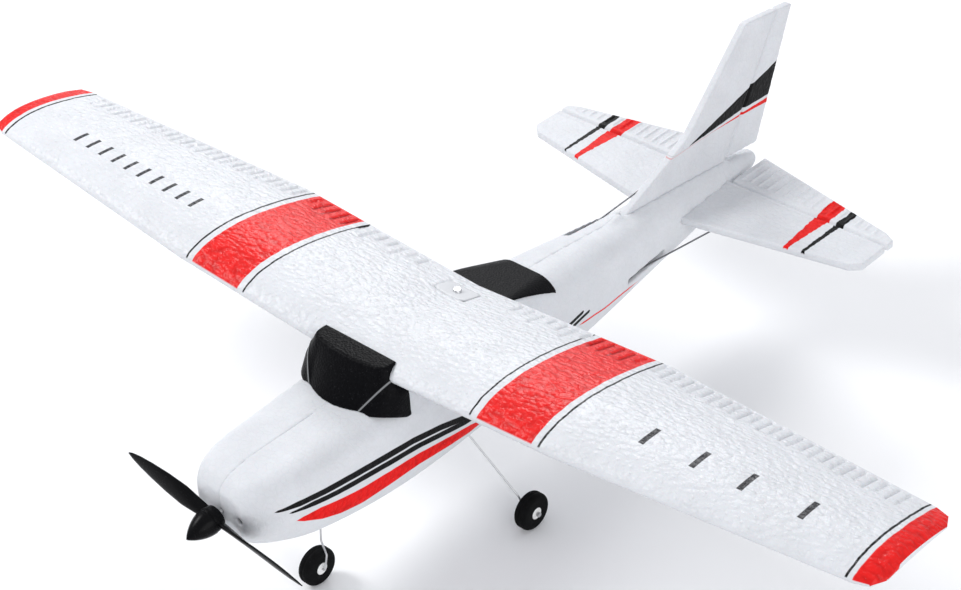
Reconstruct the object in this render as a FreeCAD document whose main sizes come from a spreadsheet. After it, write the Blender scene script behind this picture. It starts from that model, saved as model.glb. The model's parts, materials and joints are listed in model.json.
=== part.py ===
import FreeCAD, Part
import math
import os

import Sketcher
from FreeCAD import Placement, Rotation, Vector

# Small foam trainer aeroplane with one high wing, in millimetres.
# The nose points along -Y, +Z is up and +X is the port wing. The origin is the middle of the outer
# box's underside, so the wheels stand on z = 0 and the spinner's tip and the rudder's rear corner
# are the same distance either side of y = 0.

SIZES = {
    "overall_length": 405, "wing_span": 500,
    # wing
    "wing_front_y": -106.3, "wing_front_z": 101.8, "root_chord": 79.0, "straight_half_span": 107,
    "taper_end_x": 241, "taper_end_chord": 55.5, "taper_end_setback": 7.4, "tip_chord": 40,
    "tip_setback": 15, "dihedral_degrees": 3.8, "incidence_degrees": 3.6,
    "wing_thickness_ratio": 0.135, "trailing_edge_thickness": 1.4,
    # fuselage shell
    "foam_wall": 3.4,
    # tail
    "tail_thickness": 4, "tail_plane_z": 68.2, "tail_half_span": 100, "elevator_hinge_y": 146.2,
    "hinge_gap": 0.5, "hinge_bevel": 1.8, "elevator_inner_x": 10.2,
    "rudder_hinge_foot_y": 152.0, "rudder_hinge_foot_z": 77.0, "rudder_hinge_rake": 29.6,
    # power train, along the thrust line
    "thrust_tilt": 7, "propeller_y": -186.4, "propeller_z": 71.6, "propeller_radius": 50,
    "spinner_radius": 5.8, "blade_middle_y": -1.4, "shaft_radius": 1, "running_gap": 0.05,
    "gear_module": 0.5, "spur_teeth": 32, "pinion_teeth": 10, "gear_width": 3,
    "motor_radius": 4.25, "motor_length": 20,
    # undercarriage
    "wheel_radius": 9, "tyre_width": 6.6, "rim_radius": 2.9, "gear_wire_radius": 0.45,
    "nose_wheel_y": -136.4, "main_wheel_x": 47.8, "main_wheel_y": -49.9,
    # belly hatch
    "hatch_front_y": -121, "hatch_back_y": -74, "hatch_floor_z": 41.4,
    # controls
    "pushrod_radius": 0.4, "elevator_arm": 11.4, "rudder_arm": 10, "arm_hole_radius": 0.6,
    "arm_thickness": 1.2, "servo_length": 20, "servo_width": 8.6, "servo_height": 17,
}

# Fuselage stations from nose to tail cone: distance aft, half width, top, bottom, and the
# corner radii of the upper and lower edges.
FUSELAGE_STATIONS = [
    (-183.6, 12.6, 81.6, 61.2, 7.0, 7.0),
    (-181.0, 16.6, 85.0, 59.0, 9.0, 9.0),
    (-175.0, 20.4, 87.8, 55.6, 10.0, 12.0),
    (-162.0, 23.8, 89.2, 50.4, 11.0, 14.0),
    (-135.0, 25.9, 89.5, 44.4, 12.0, 14.5),
    (-105.0, 26.5, 90.0, 41.4, 11.0, 14.0),
    (-60.0, 26.2, 90.0, 41.2, 10.0, 14.0),
    (-28.0, 24.0, 90.0, 42.0, 12.0, 13.0),
    (8.0, 20.0, 89.0, 43.3, 14.0, 11.0),
    (40.0, 16.5, 86.3, 44.8, 13.0, 9.0),
    (75.0, 13.0, 82.6, 47.4, 11.0, 7.5),
    (110.0, 10.5, 79.6, 51.0, 9.0, 6.5),
    (146.0, 8.6, 75.8, 56.8, 7.0, 6.0),
    (166.0, 6.8, 73.0, 60.5, 5.8, 5.5),
    (175.5, 4.0, 70.5, 63.5, 3.0, 3.0),
]

# Cabin stations, from the windscreen to the end of the sloping rear deck, in the same order.
CABIN_STATIONS = [
    (-108.0, 22.0, 100.4, 72.0, 3.0, 2.0),
    (-101.0, 25.6, 101.4, 72.0, 3.0, 2.0),
    (-60.0, 25.8, 99.3, 72.0, 3.0, 2.0),
    (-27.8, 23.4, 97.0, 72.0, 8.0, 2.0),
    (6.0, 19.0, 89.2, 72.0, 12.0, 2.0),
]

doc = FreeCAD.newDocument("TrainerAeroplane")
sheet = doc.addObject("Spreadsheet::Sheet", "Sizes")
PARTS = []


class Dimension:
    """A sheet value, or a sum on sheet values, kept both as a number and as an expression."""

    def __init__(self, value, text):
        self.value = float(value)
        self.text = text

    def __add__(self, other):
        other = as_dimension(other)
        return Dimension(self.value + other.value, f"({self.text} + {other.text})")

    def __sub__(self, other):
        other = as_dimension(other)
        return Dimension(self.value - other.value, f"({self.text} - {other.text})")

    def __mul__(self, factor):
        factor = as_dimension(factor)
        return Dimension(self.value * factor.value, f"({self.text} * {factor.text})")

    def __truediv__(self, divisor):
        divisor = as_dimension(divisor)
        return Dimension(self.value / divisor.value, f"({self.text} / {divisor.text})")

    def __neg__(self):
        return self * -1

    def __float__(self):
        return self.value


def as_dimension(value):
    if isinstance(value, Dimension):
        return value
    return Dimension(value, f"({value})")


def dim(alias):
    """The sheet's cell of that name."""
    return Dimension(SIZES[alias], f"Sizes.{alias}")


def fill_sheet():
    rows = dict(SIZES)
    for prefix, stations in (("hull", FUSELAGE_STATIONS), ("cabin", CABIN_STATIONS)):
        for number, station in enumerate(stations):
            for word, value in zip(("aft", "half", "top", "bottom", "shoulder", "bilge"), station):
                rows[f"{prefix}_{number}_{word}"] = value
    SIZES.update(rows)
    for row, (alias, value) in enumerate(rows.items(), start=1):
        sheet.set(f"A{row}", alias)
        sheet.set(f"B{row}", str(value))
        sheet.setAlias(f"B{row}", alias)
    doc.recompute()


# ---------------------------------------------------------------- modelling helpers

AXIS_OF_PLANE = {"XY_Plane": 1, "XZ_Plane": -1, "YZ_Plane": 1}


def set_size(thing, name, value):
    """Set a property to a number, and bind it when the number comes from the sheet."""
    if isinstance(value, Dimension):
        thing.setExpression(name, value.text)
    else:
        setattr(thing, name, value)


def new_body(label):
    body = doc.addObject("PartDesign::Body", label)
    body.Label = label
    return body


def finished(piece, placement=None):
    """Register a finished sub-part."""
    if placement is not None:
        piece.Placement = placement
    PARTS.append(piece)
    return piece


def new_sketch(body, role, at=0.0, turn=0.0):
    """Sketch on a body's own origin plane, moved along that plane's row axis and turned in plane."""
    sketch = body.newObject("Sketcher::SketchObject", f"{body.Label}_sketch")
    plane = next(item for item in body.Origin.OriginFeatures if item.Role == role)
    sketch.AttachmentSupport = [(plane, "")]
    sketch.MapMode = "FlatFace"
    offset = as_dimension(at) * AXIS_OF_PLANE[role]
    sketch.AttachmentOffset = Placement(Vector(0, 0, offset.value), Rotation(Vector(0, 0, 1), turn))
    if isinstance(at, Dimension):
        sketch.setExpression("AttachmentOffset.Base.z", offset.text)
    return sketch


def hold_point(sketch, edge, end, x, y):
    """Fix one end of an edge by its two coordinates."""
    for kind, axis, value in (("DistanceX", -2, x), ("DistanceY", -1, y)):
        if float(value) == 0:
            sketch.addConstraint(Sketcher.Constraint("PointOnObject", edge, end, axis))
            continue
        index = sketch.addConstraint(Sketcher.Constraint(kind, -1, 1, edge, end, float(value)))
        if isinstance(value, Dimension):
            sketch.setExpression(f"Constraints[{index}]", value.text)


def polygon(sketch, corners):
    """Closed polygon with every corner held."""
    places = [Vector(float(x), float(y), 0) for x, y in corners]
    count = len(corners)
    first = sketch.GeometryCount
    for index in range(count):
        sketch.addGeometry(Part.LineSegment(places[index], places[(index + 1) % count]))
    for index in range(count):
        after = first + (index + 1) % count
        sketch.addConstraint(Sketcher.Constraint("Coincident", first + index, 2, after, 1))
    for index, (x, y) in enumerate(corners):
        hold_point(sketch, first + index, 1, x, y)


def circle(sketch, x, y, radius):
    centre = Vector(float(x), float(y), 0)
    edge = sketch.addGeometry(Part.Circle(centre, Vector(0, 0, 1), float(radius)))
    index = sketch.addConstraint(Sketcher.Constraint("Radius", edge, float(radius)))
    if isinstance(radius, Dimension):
        sketch.setExpression(f"Constraints[{index}]", radius.text)
    hold_point(sketch, edge, 3, x, y)


def pad(body, sketch, length):
    """Pad toward the positive end of the sketch plane's row axis."""
    feature = body.newObject("PartDesign::Pad", f"{body.Label}_pad")
    feature.Profile = sketch
    set_size(feature, "Length", length)
    plane = sketch.AttachmentSupport[0][0]
    feature.Reversed = AXIS_OF_PLANE[plane.Role] < 0
    return feature


def drill(body, role, holes):
    """Round holes right through the body, square to an origin plane."""
    for x, y, radius in holes:
        sketch = new_sketch(body, role)
        circle(sketch, x, y, radius)
        pocket = body.newObject("PartDesign::Pocket", f"{body.Label}_hole")
        pocket.Profile = sketch
        pocket.SideType = "Symmetric"
        pocket.Length = 900
    return body


def prism(label, role, corners, start, length, placement=None):
    """Straight piece: a polygon on an origin plane, padded from start by length."""
    body = new_body(label)
    sketch = new_sketch(body, role, start)
    polygon(sketch, corners)
    pad(body, sketch, length)
    if placement is not None:
        body.Placement = placement
    return body


def block(label, low, high, placement=None):
    """Rectangular piece between two opposite corners."""
    corners = [(low[0], low[1]), (high[0], low[1]), (high[0], high[1]), (low[0], high[1])]
    return prism(label, "XY_Plane", corners, low[2], as_dimension(high[2]) - low[2], placement)


def turned(label, axis, profile, placement=None):
    """Piece of revolution about X, Y or Z. The profile is (distance along, radius) pairs."""
    role = {"X": "XY_Plane", "Y": "YZ_Plane", "Z": "XZ_Plane"}[axis]
    body = new_body(label)
    sketch = new_sketch(body, role)
    upright = axis == "Z"
    polygon(sketch, [(radius, along) if upright else (along, radius) for along, radius in profile])
    feature = body.newObject("PartDesign::Revolution", f"{label}_turned")
    feature.Profile = sketch
    feature.ReferenceAxis = (sketch, ["V_Axis" if upright else "H_Axis"])
    feature.Angle = 360
    if placement is not None:
        body.Placement = placement
    return body


def loft(body, sketches, ruled=False, cut=False):
    kind = "PartDesign::SubtractiveLoft" if cut else "PartDesign::AdditiveLoft"
    feature = body.newObject(kind, f"{body.Label}_loft")
    feature.Profile = sketches[0]
    feature.Sections = sketches[1:]
    feature.Ruled = ruled
    return feature


def carved(label, base, tools, placement=None):
    """The base with every tool's space taken out of it."""
    if len(tools) == 1:
        tool = tools[0]
    else:
        tool = doc.addObject("Part::MultiFuse", f"{label}_tools")
        tool.Shapes = tools
    cut = doc.addObject("Part::Cut", label)
    cut.Base = base
    cut.Tool = tool
    base.Label = f"{label}_blank"
    cut.Label = label
    return finished(cut, placement)


def joined(label, pieces):
    fuse = doc.addObject("Part::MultiFuse", label)
    fuse.Shapes = pieces
    fuse.Label = label
    return fuse


def grouped(label, pieces):
    """Identical fasteners kept as separate solids of one sub-part."""
    group = doc.addObject("Part::Compound", label)
    group.Links = pieces
    group.Label = label
    return finished(group)


def at(x=0, y=0, z=0, axis=None, degrees=0):
    turn = Rotation(axis, float(degrees)) if axis is not None else Rotation()
    return Placement(Vector(float(x), float(y), float(z)), turn)


def bent_wire(label, points, radius, bend):
    """Round wire along straight runs joined by tangent arcs: a bend in space fits no sketch."""
    radius = float(radius)
    edges = []
    start = points[0]
    for before, corner, after in zip(points, points[1:], points[2:]):
        into = (corner - before).normalize()
        out = (after - corner).normalize()
        half_turn = into.getAngle(out) / 2
        reach = bend * math.tan(half_turn)
        first = corner - into * reach
        last = corner + out * reach
        middle_direction = (out - into).normalize()
        middle = corner + middle_direction * (bend / math.cos(half_turn) - bend)
        edges.append(Part.LineSegment(start, first).toShape())
        edges.append(Part.Arc(first, middle, last).toShape())
        start = last
    edges.append(Part.LineSegment(start, points[-1]).toShape())
    path = Part.Wire(edges)
    direction = points[1] - points[0]
    section = Part.Wire(Part.Circle(points[0], direction, radius).toShape())
    wire = doc.addObject("Part::Feature", label)
    wire.Shape = path.makePipeShell([section], True, False)
    wire.Label = label
    return wire


# ---------------------------------------------------------------- foam fuselage

def half_section(body, prefix, number, side, inset=0.0):
    """Half of a fuselage station: flat on the centre plane, rounded at shoulder and bilge."""
    def cell(word):
        return dim(f"{prefix}_{number}_{word}")

    sketch = new_sketch(body, "XZ_Plane", cell("aft"))
    half = cell("half") - inset
    top = cell("top") - inset
    bottom = cell("bottom") + inset
    shoulder = as_dimension(max(cell("shoulder").value - inset, 0.8))
    bilge = as_dimension(max(cell("bilge").value - inset, 0.8))
    if not inset:
        shoulder = cell("shoulder")
        bilge = cell("bilge")
    places = [(as_dimension(0), bottom), (half - bilge, bottom), (half, bottom + bilge),
              (half, top - shoulder), (half - shoulder, top), (as_dimension(0), top)]
    places = [(x * side, z) for x, z in places]
    vectors = [Vector(x.value, z.value, 0) for x, z in places]
    diagonal = math.sqrt(0.5)
    low_middle = Vector(side * (half.value - bilge.value * (1 - diagonal)),
                        bottom.value + bilge.value * (1 - diagonal), 0)
    high_middle = Vector(side * (half.value - shoulder.value * (1 - diagonal)),
                         top.value - shoulder.value * (1 - diagonal), 0)
    sketch.addGeometry(Part.LineSegment(vectors[0], vectors[1]))
    sketch.addGeometry(Part.Arc(vectors[1], low_middle, vectors[2]))
    sketch.addGeometry(Part.LineSegment(vectors[2], vectors[3]))
    sketch.addGeometry(Part.Arc(vectors[3], high_middle, vectors[4]))
    sketch.addGeometry(Part.LineSegment(vectors[4], vectors[5]))
    sketch.addGeometry(Part.LineSegment(vectors[5], vectors[0]))
    for line, place in ((0, places[0]), (2, places[2]), (4, places[4])):
        hold_point(sketch, line, 1, *place)
    for line, place in ((0, places[1]), (2, places[3]), (4, places[5])):
        hold_point(sketch, line, 2, *place)
    return sketch


def stations(body, prefix, count, side, inset=0.0, skip_first=0, skip_last=0):
    numbers = range(skip_first, count - skip_last)
    return [half_section(body, prefix, number, side, inset) for number in numbers]


def fuselage_blank(side, name):
    """One foam half before the openings are cut: hull and cabin, hollow inside."""
    hull = new_body(f"hull_{name}")
    loft(hull, stations(hull, "hull", len(FUSELAGE_STATIONS), side))
    cabin = new_body(f"cabin_{name}")
    loft(cabin, stations(cabin, "cabin", len(CABIN_STATIONS), side), ruled=True)
    wall = SIZES["foam_wall"]
    bay = new_body(f"bay_{name}")
    loft(bay, stations(bay, "hull", len(FUSELAGE_STATIONS), side, wall, 1, 3))
    cabin_bay = new_body(f"cabin_bay_{name}")
    loft(cabin_bay, stations(cabin_bay, "cabin", len(CABIN_STATIONS), side, wall, 1, 1), ruled=True)
    solid = joined(f"outside_{name}", [hull, cabin])
    hollow = joined(f"inside_{name}", [bay, cabin_bay])
    shell = doc.addObject("Part::Cut", f"shell_{name}")
    shell.Base = solid
    shell.Tool = hollow
    return shell, solid


# ---------------------------------------------------------------- wing

def wing_section(body, x, setback, chord, side, thin=1.0):
    """Cambered aerofoil with a blunt trailing edge, set at the wing's incidence and dihedral."""
    span_x = float(x)
    chord = float(chord)
    rise = span_x * math.tan(math.radians(SIZES["dihedral_degrees"]))
    front = Vector(SIZES["wing_front_y"] + float(setback), SIZES["wing_front_z"] + rise, 0)
    pitch = -math.radians(SIZES["incidence_degrees"])
    blunt = SIZES["trailing_edge_thickness"] / 2

    def surface(part, sign):
        ratio = SIZES["wing_thickness_ratio"] * thin
        half = 5 * ratio * (0.2969 * math.sqrt(part) - 0.126 * part - 0.3516 * part ** 2
                            + 0.2843 * part ** 3 - 0.1036 * part ** 4)
        camber = 0.04 / 0.16 * (0.8 * part - part ** 2)
        if part > 0.4:
            camber = 0.04 / 0.36 * (0.2 + 0.8 * part - part ** 2)
        along = chord * part
        up = chord * (camber + sign * half) + sign * blunt * thin * part
        return Vector(front.x + along * math.cos(pitch) - up * math.sin(pitch),
                      front.y + along * math.sin(pitch) + up * math.cos(pitch), 0)

    parts = [(1 - math.cos(math.pi * step / 10)) / 2 for step in range(11)]
    sketch = new_sketch(body, "YZ_Plane", side * span_x)
    ends = []
    for sign in (1, -1):
        curve = Part.BSplineCurve()
        points = [surface(part, sign) for part in parts]
        curve.interpolate(points)
        sketch.addGeometry(curve)
        ends.append(points[-1])
    sketch.addGeometry(Part.LineSegment(ends[0], ends[1]))
    return sketch


def wing_half(side, name):
    body = new_body(f"wing_{name}")
    half_span = SIZES["wing_span"] / 2
    taper_end = SIZES["taper_end_x"]
    middle_x = (taper_end + half_span) / 2 + 1.5
    middle_setback = (SIZES["taper_end_setback"] * 1.2 + SIZES["tip_setback"] * 0.3) / 1.5
    outline = [
        (0, 0, SIZES["root_chord"], 1),
        (SIZES["straight_half_span"], 0, SIZES["root_chord"], 1),
        (taper_end, SIZES["taper_end_setback"], SIZES["taper_end_chord"], 0.95),
        (middle_x, middle_setback, SIZES["taper_end_chord"] * 0.93, 0.8),
        (half_span, SIZES["tip_setback"], SIZES["tip_chord"], 0.45),
    ]
    sketches = [wing_section(body, x, setback, chord, side, thin)
                for x, setback, chord, thin in outline]
    loft(body, sketches, ruled=True)
    return body


def wing_line(x, share, depth=0.0):
    """A point on the wing's chord plane, share of the chord back and depth above it."""
    chord = SIZES["root_chord"]
    rise = abs(x) * math.tan(math.radians(SIZES["dihedral_degrees"]))
    drop = chord * share * math.tan(math.radians(SIZES["incidence_degrees"]))
    return Vector(x, SIZES["wing_front_y"] + chord * share, SIZES["wing_front_z"] + rise - drop + depth)


def make_wing():
    left = wing_half(1, "left_panel")
    right = wing_half(-1, "right_panel")
    blank = joined("wing_blank", [left, right])
    spars = [bent_wire(f"wing_spar_{name}", [wing_line(side * 2, 0.34, 1), wing_line(side * 190, 0.34, 1)],
                       1.2, 1) for side, name in ((1, "left"), (-1, "right"))]
    plate_z = wing_line(0, 0.82, 3.2).z
    plate = block("wing_plate", (-9.5, -47.4, plate_z), (9.5, -34.4, plate_z + 1.2))
    drill(plate, "XY_Plane", [(0, -41, 1.1)])
    screw = turned("wing_screw", "Z", [(80, 0), (80, 1), (plate_z + 1.3, 1), (plate_z + 1.3, 2),
                                       (plate_z + 2.4, 1.6), (plate_z + 2.4, 0)], at(0, -41, 0))
    carved("wing", blank, spars + [plate, screw])
    for piece in spars + [plate, screw]:
        finished(piece)
    beam = block("wing_mount_beam", (-22, -46, 87), (22, -36, 92))
    carved("wing_mount_beam", beam, [screw])
    return blank, beam


# ---------------------------------------------------------------- glazing

def windshield_outline(body, height, half, back, corner, front, bow):
    sketch = new_sketch(body, "XY_Plane", height)
    side_y = front + bow + corner
    slope = math.sqrt(0.5)
    near = half - corner
    corner_y = front + bow
    right_middle = Vector(near + corner * slope, side_y - corner * slope, 0)
    left_middle = Vector(-right_middle.x, right_middle.y, 0)
    sketch.addGeometry(Part.LineSegment(Vector(-half, back, 0), Vector(half, back, 0)))
    sketch.addGeometry(Part.LineSegment(Vector(half, back, 0), Vector(half, side_y, 0)))
    sketch.addGeometry(Part.Arc(Vector(half, side_y, 0), right_middle, Vector(near, corner_y, 0)))
    sketch.addGeometry(Part.Arc(Vector(near, corner_y, 0), Vector(0, front, 0), Vector(-near, corner_y, 0)))
    sketch.addGeometry(Part.Arc(Vector(-near, corner_y, 0), left_middle, Vector(-half, side_y, 0)))
    sketch.addGeometry(Part.LineSegment(Vector(-half, side_y, 0), Vector(-half, back, 0)))
    return sketch


def make_windshield(outsides, wing_blank):
    """Dark foam windscreen with side windows: it wraps the cabin's front and the wing's nose."""
    body = new_body("windshield_solid")
    low = windshield_outline(body, 84.0, 27.6, -99.6, 14.0, -125.6, 4.5)
    high = windshield_outline(body, 108.4, 20.5, -99.6, 5.0, -110.5, 1.5)
    middle = windshield_outline(body, 97.0, 26.9, -99.6, 12.0, -117.4, 3.2)
    loft(body, [low, middle, high], ruled=True)
    carved("windshield", body, outsides + [wing_blank])


def make_rear_window(outsides, wing_blank):
    """Thin dark panel bonded on the sloping deck behind the wing."""
    skins = []
    for side, name in ((1, "left"), (-1, "right")):
        skin = new_body(f"deck_skin_{name}")
        loft(skin, stations(skin, "cabin", len(CABIN_STATIONS), side, -0.7, 3), ruled=True)
        skins.append(skin)
    skin = joined("deck_skin", skins)
    outline = block("deck_outline", (-17.5, -27.4, 80), (17.5, 4.5, 110))
    panel = doc.addObject("Part::Common", "rear_window_solid")
    panel.Base = skin
    panel.Tool = outline
    carved("rear_window", panel, outsides + [wing_blank])


# ---------------------------------------------------------------- tail

def rudder_axis():
    rake = math.radians(SIZES["rudder_hinge_rake"])
    return Vector(0, math.sin(rake), math.cos(rake))


def bevel_front(body, wanted):
    """Bevel the long front edges on both faces, so that the surface can swing on its hinge."""
    doc.recompute()
    plain = body.Tip
    names = [f"Edge{number}" for number, edge in enumerate(plain.Shape.Edges, start=1) if wanted(edge)]
    chamfer = body.newObject("PartDesign::Chamfer", f"{body.Label}_bevel")
    chamfer.Base = (plain, names)
    set_size(chamfer, "Size", dim("hinge_bevel"))
    return body


def make_fin_and_rudder():
    thick = dim("tail_thickness")
    foot = Vector(0, SIZES["rudder_hinge_foot_y"], SIZES["rudder_hinge_foot_z"])
    axis = rudder_axis()
    gap = SIZES["hinge_gap"]
    top = foot + axis * 77
    fin = prism("fin_solid", "YZ_Plane", [
        (62, 79), (94, 92.2), (105.4, 96.8), (118.8, 102.9), (122.3, 105.1), (164.2, 146.2),
        (167, 146.5), (top.y - gap, top.z), (foot.y - gap, foot.z), (foot.y - gap - 2.6, 72), (72, 76)],
        -thick / 2, thick)
    rudder = prism("rudder_solid", "YZ_Plane", [
        (foot.y, foot.z + 0.4), (top.y, top.z), (dim("overall_length") / 2, top.z - 1.6),
        (178, 74.6)], -thick / 2, thick)

    def on_hinge(edge):
        ends = [Vector(0, vertex.Point.y, vertex.Point.z) for vertex in edge.Vertexes]
        return edge.Length > 50 and all((end - foot).cross(axis).Length < 0.5 for end in ends)

    bevel_front(rudder, on_hinge)
    return fin, rudder


def make_tail_plane():
    thick = dim("tail_thickness")
    half = dim("tail_half_span")
    low = dim("tail_plane_z") - thick / 2
    front_gap = dim("elevator_hinge_y") - dim("hinge_gap")
    stabiliser = prism("stabiliser", "XY_Plane", [
        (0, 102.3), (half - 5, 122.2), (half, 127), (half, front_gap), (-half, front_gap),
        (-half, 127), (-half + 5, 122.2)], low, thick)
    halves = []
    for side, name in ((1, "left"), (-1, "right")):
        inner = dim("elevator_inner_x") * side
        body = prism(f"elevator_{name}_solid", "XY_Plane", [
            (inner, dim("elevator_hinge_y")), (half * side, dim("elevator_hinge_y")),
            (half * side, 152), (half * side - 6 * side, 155.4), (inner, 174.3)], low, thick)
        hinge_y = SIZES["elevator_hinge_y"]
        bevel_front(body, lambda edge: edge.Length > 50 and all(
            abs(vertex.Point.y - hinge_y) < 0.01 for vertex in edge.Vertexes))
        halves.append(body)
    return finished(stabiliser), halves


# ---------------------------------------------------------------- power train

def thrust_frame():
    """Origin at the middle of the propeller, +Y aft along the shaft, tipped nose down."""
    return at(0, dim("propeller_y"), dim("propeller_z"), Vector(1, 0, 0), dim("thrust_tilt"))


def gear_wheel(label, teeth, bore, start, centre_x, phase):
    """Involute spur gear with a little backlash, its flanks worked out by formula."""
    module = SIZES["gear_module"]
    pressure = math.radians(20)
    pitch_radius = module * teeth / 2
    base_radius = pitch_radius * math.cos(pressure)
    tip_radius = pitch_radius + 0.85 * module
    root_radius = pitch_radius - 1.2 * module
    backlash_angle = 0.06 / pitch_radius

    def involute(radius):
        return math.sqrt(max((radius / base_radius) ** 2 - 1, 0)) - math.acos(min(base_radius / radius, 1))

    half_tooth = math.pi / (2 * teeth) + involute(pitch_radius) - backlash_angle / 2
    start_radius = max(base_radius, root_radius)
    radii = [start_radius + (tip_radius - start_radius) * step / 3 for step in range(4)]
    flank = [(root_radius, half_tooth)] if root_radius < base_radius else []
    flank += [(radius, half_tooth - involute(radius)) for radius in radii]
    points = []
    for tooth in range(teeth):
        middle = phase + 2 * math.pi * tooth / teeth
        sides = [(radius, -angle) for radius, angle in flank] + list(reversed(flank))
        points += [Vector(centre_x + radius * math.sin(middle + angle), start,
                          radius * math.cos(middle + angle)) for radius, angle in sides]
    outline = Part.Wire(Part.makePolygon(points + [points[0]]))
    hole = Part.Wire(Part.Circle(Vector(centre_x, start, 0), Vector(0, 1, 0), bore).toShape())
    face = Part.Face(outline).cut(Part.Face(hole))
    gear = doc.addObject("Part::Feature", label)
    gear.Shape = face.extrude(Vector(0, SIZES["gear_width"], 0))
    gear.Label = label
    return finished(gear, thrust_frame())


def propeller_blade(body, turn):
    """Twisted blade: thin lens sections set at the pitch of each radius."""
    sections = ((2.5, 6.0, 1.8, 46), (12, 8.6, 1.5, 32), (24, 9.2, 1.2, 21), (36, 7.8, 0.9, 15),
                (45, 5.0, 0.7, 12), (49.9, 1.4, 0.4, 11))
    sketches = []
    for radius, chord, thick, pitch in sections:
        sketch = new_sketch(body, "YZ_Plane", radius * turn)
        angle = math.radians(pitch)
        across = Vector(math.sin(angle), -math.cos(angle) * turn, 0) * (chord / 2)
        normal = Vector(math.cos(angle), math.sin(angle) * turn, 0) * (thick / 2)
        middle = Vector(SIZES["blade_middle_y"], 0, 0)
        sketch.addGeometry(Part.Arc(middle - across, middle + normal, middle + across))
        sketch.addGeometry(Part.Arc(middle + across, middle - normal, middle - across))
        sketches.append(sketch)
    loft(body, sketches)


def make_propeller():
    shaft = SIZES["shaft_radius"]
    body = turned("propeller_hub", "Y", [(-3.9, shaft), (-3.9, 5.7), (0.7, 4.8), (0.7, shaft)])
    blades = []
    for turn, name in ((1, "left"), (-1, "right")):
        blade = new_body(f"blade_{name}")
        propeller_blade(blade, turn)
        blades.append(blade)
    bore = turned("propeller_bore", "Y", [(-6, 0), (-6, shaft), (6, shaft), (6, 0)])
    whole = joined("propeller_solid", [body] + blades)
    frame = thrust_frame()
    frame.Rotation = frame.Rotation.multiply(Rotation(Vector(0, 1, 0), 9.5))
    carved("propeller", whole, [bore], frame)


def make_power_train():
    frame = thrust_frame()
    shaft = dim("shaft_radius")
    running = shaft + dim("running_gap")
    spinner = turned("spinner", "Y", [(-16.2, 0), (-15.6, 0.75), (-13.4, 1.9), (-10, 3.5), (-6.5, 5.1),
                                      (-3.9, dim("spinner_radius")), (-3.9, shaft), (-9, shaft), (-9, 0)], frame)
    finished(spinner)
    make_propeller()
    finished(turned("prop_shaft", "Y", [(-9, 0), (-9, shaft), (20.5, shaft), (20.5, 0)], frame))
    finished(turned("front_bushing", "Y", [(5.2, running), (5.2, 3.2), (6, 3.2), (6, 2), (8, 2),
                                           (8, running)], frame))
    finished(turned("rear_bushing", "Y", [(15.8, running), (15.8, 2), (18.6, 2), (18.6, running)], frame))
    finished(turned("thrust_collar", "Y", [(13.4, shaft), (13.4, 2), (15.6, 2), (15.6, shaft)], frame))
    centre = SIZES["gear_module"] * (SIZES["spur_teeth"] + SIZES["pinion_teeth"]) / 2
    spur_phase = math.pi / 2
    pinion_phase = math.pi / 2 + math.pi / SIZES["pinion_teeth"]
    gear_wheel("spur_gear", int(SIZES["spur_teeth"]), float(shaft), 10.2, 0, spur_phase)
    gear_wheel("motor_pinion", int(SIZES["pinion_teeth"]), 0.5, 10.2, centre, pinion_phase)
    motor_radius = dim("motor_radius")
    motor = turned("motor", "Y", [(9.8, 0), (9.8, 0.5), (17.6, 0.5), (17.6, 1.6), (18.6, 1.6),
                                  (18.6, motor_radius), (dim("motor_length") + 18.6, motor_radius),
                                  (dim("motor_length") + 18.6, 0)])
    shaft_end = turned("motor_shaft_tool", "Y", [(9, 0), (9, 0.55), (17.6, 0.55), (17.6, 0)])
    shaft_end.Placement = frame.multiply(at(centre, 0, 0))
    motor.Placement = frame.multiply(at(centre, 0, 0))
    rotor = turned("motor_shaft", "Y", [(9.8, 0), (9.8, 0.5), (17.5, 0.5), (17.5, 0)])
    rotor.Placement = motor.Placement
    can = doc.addObject("Part::Cut", "motor_can")
    can.Base = motor
    can.Tool = shaft_end
    motor.Label = "motor_blank"
    can.Label = "motor"
    finished(can)
    finished(rotor)
    make_gearbox(frame, centre)


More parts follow.
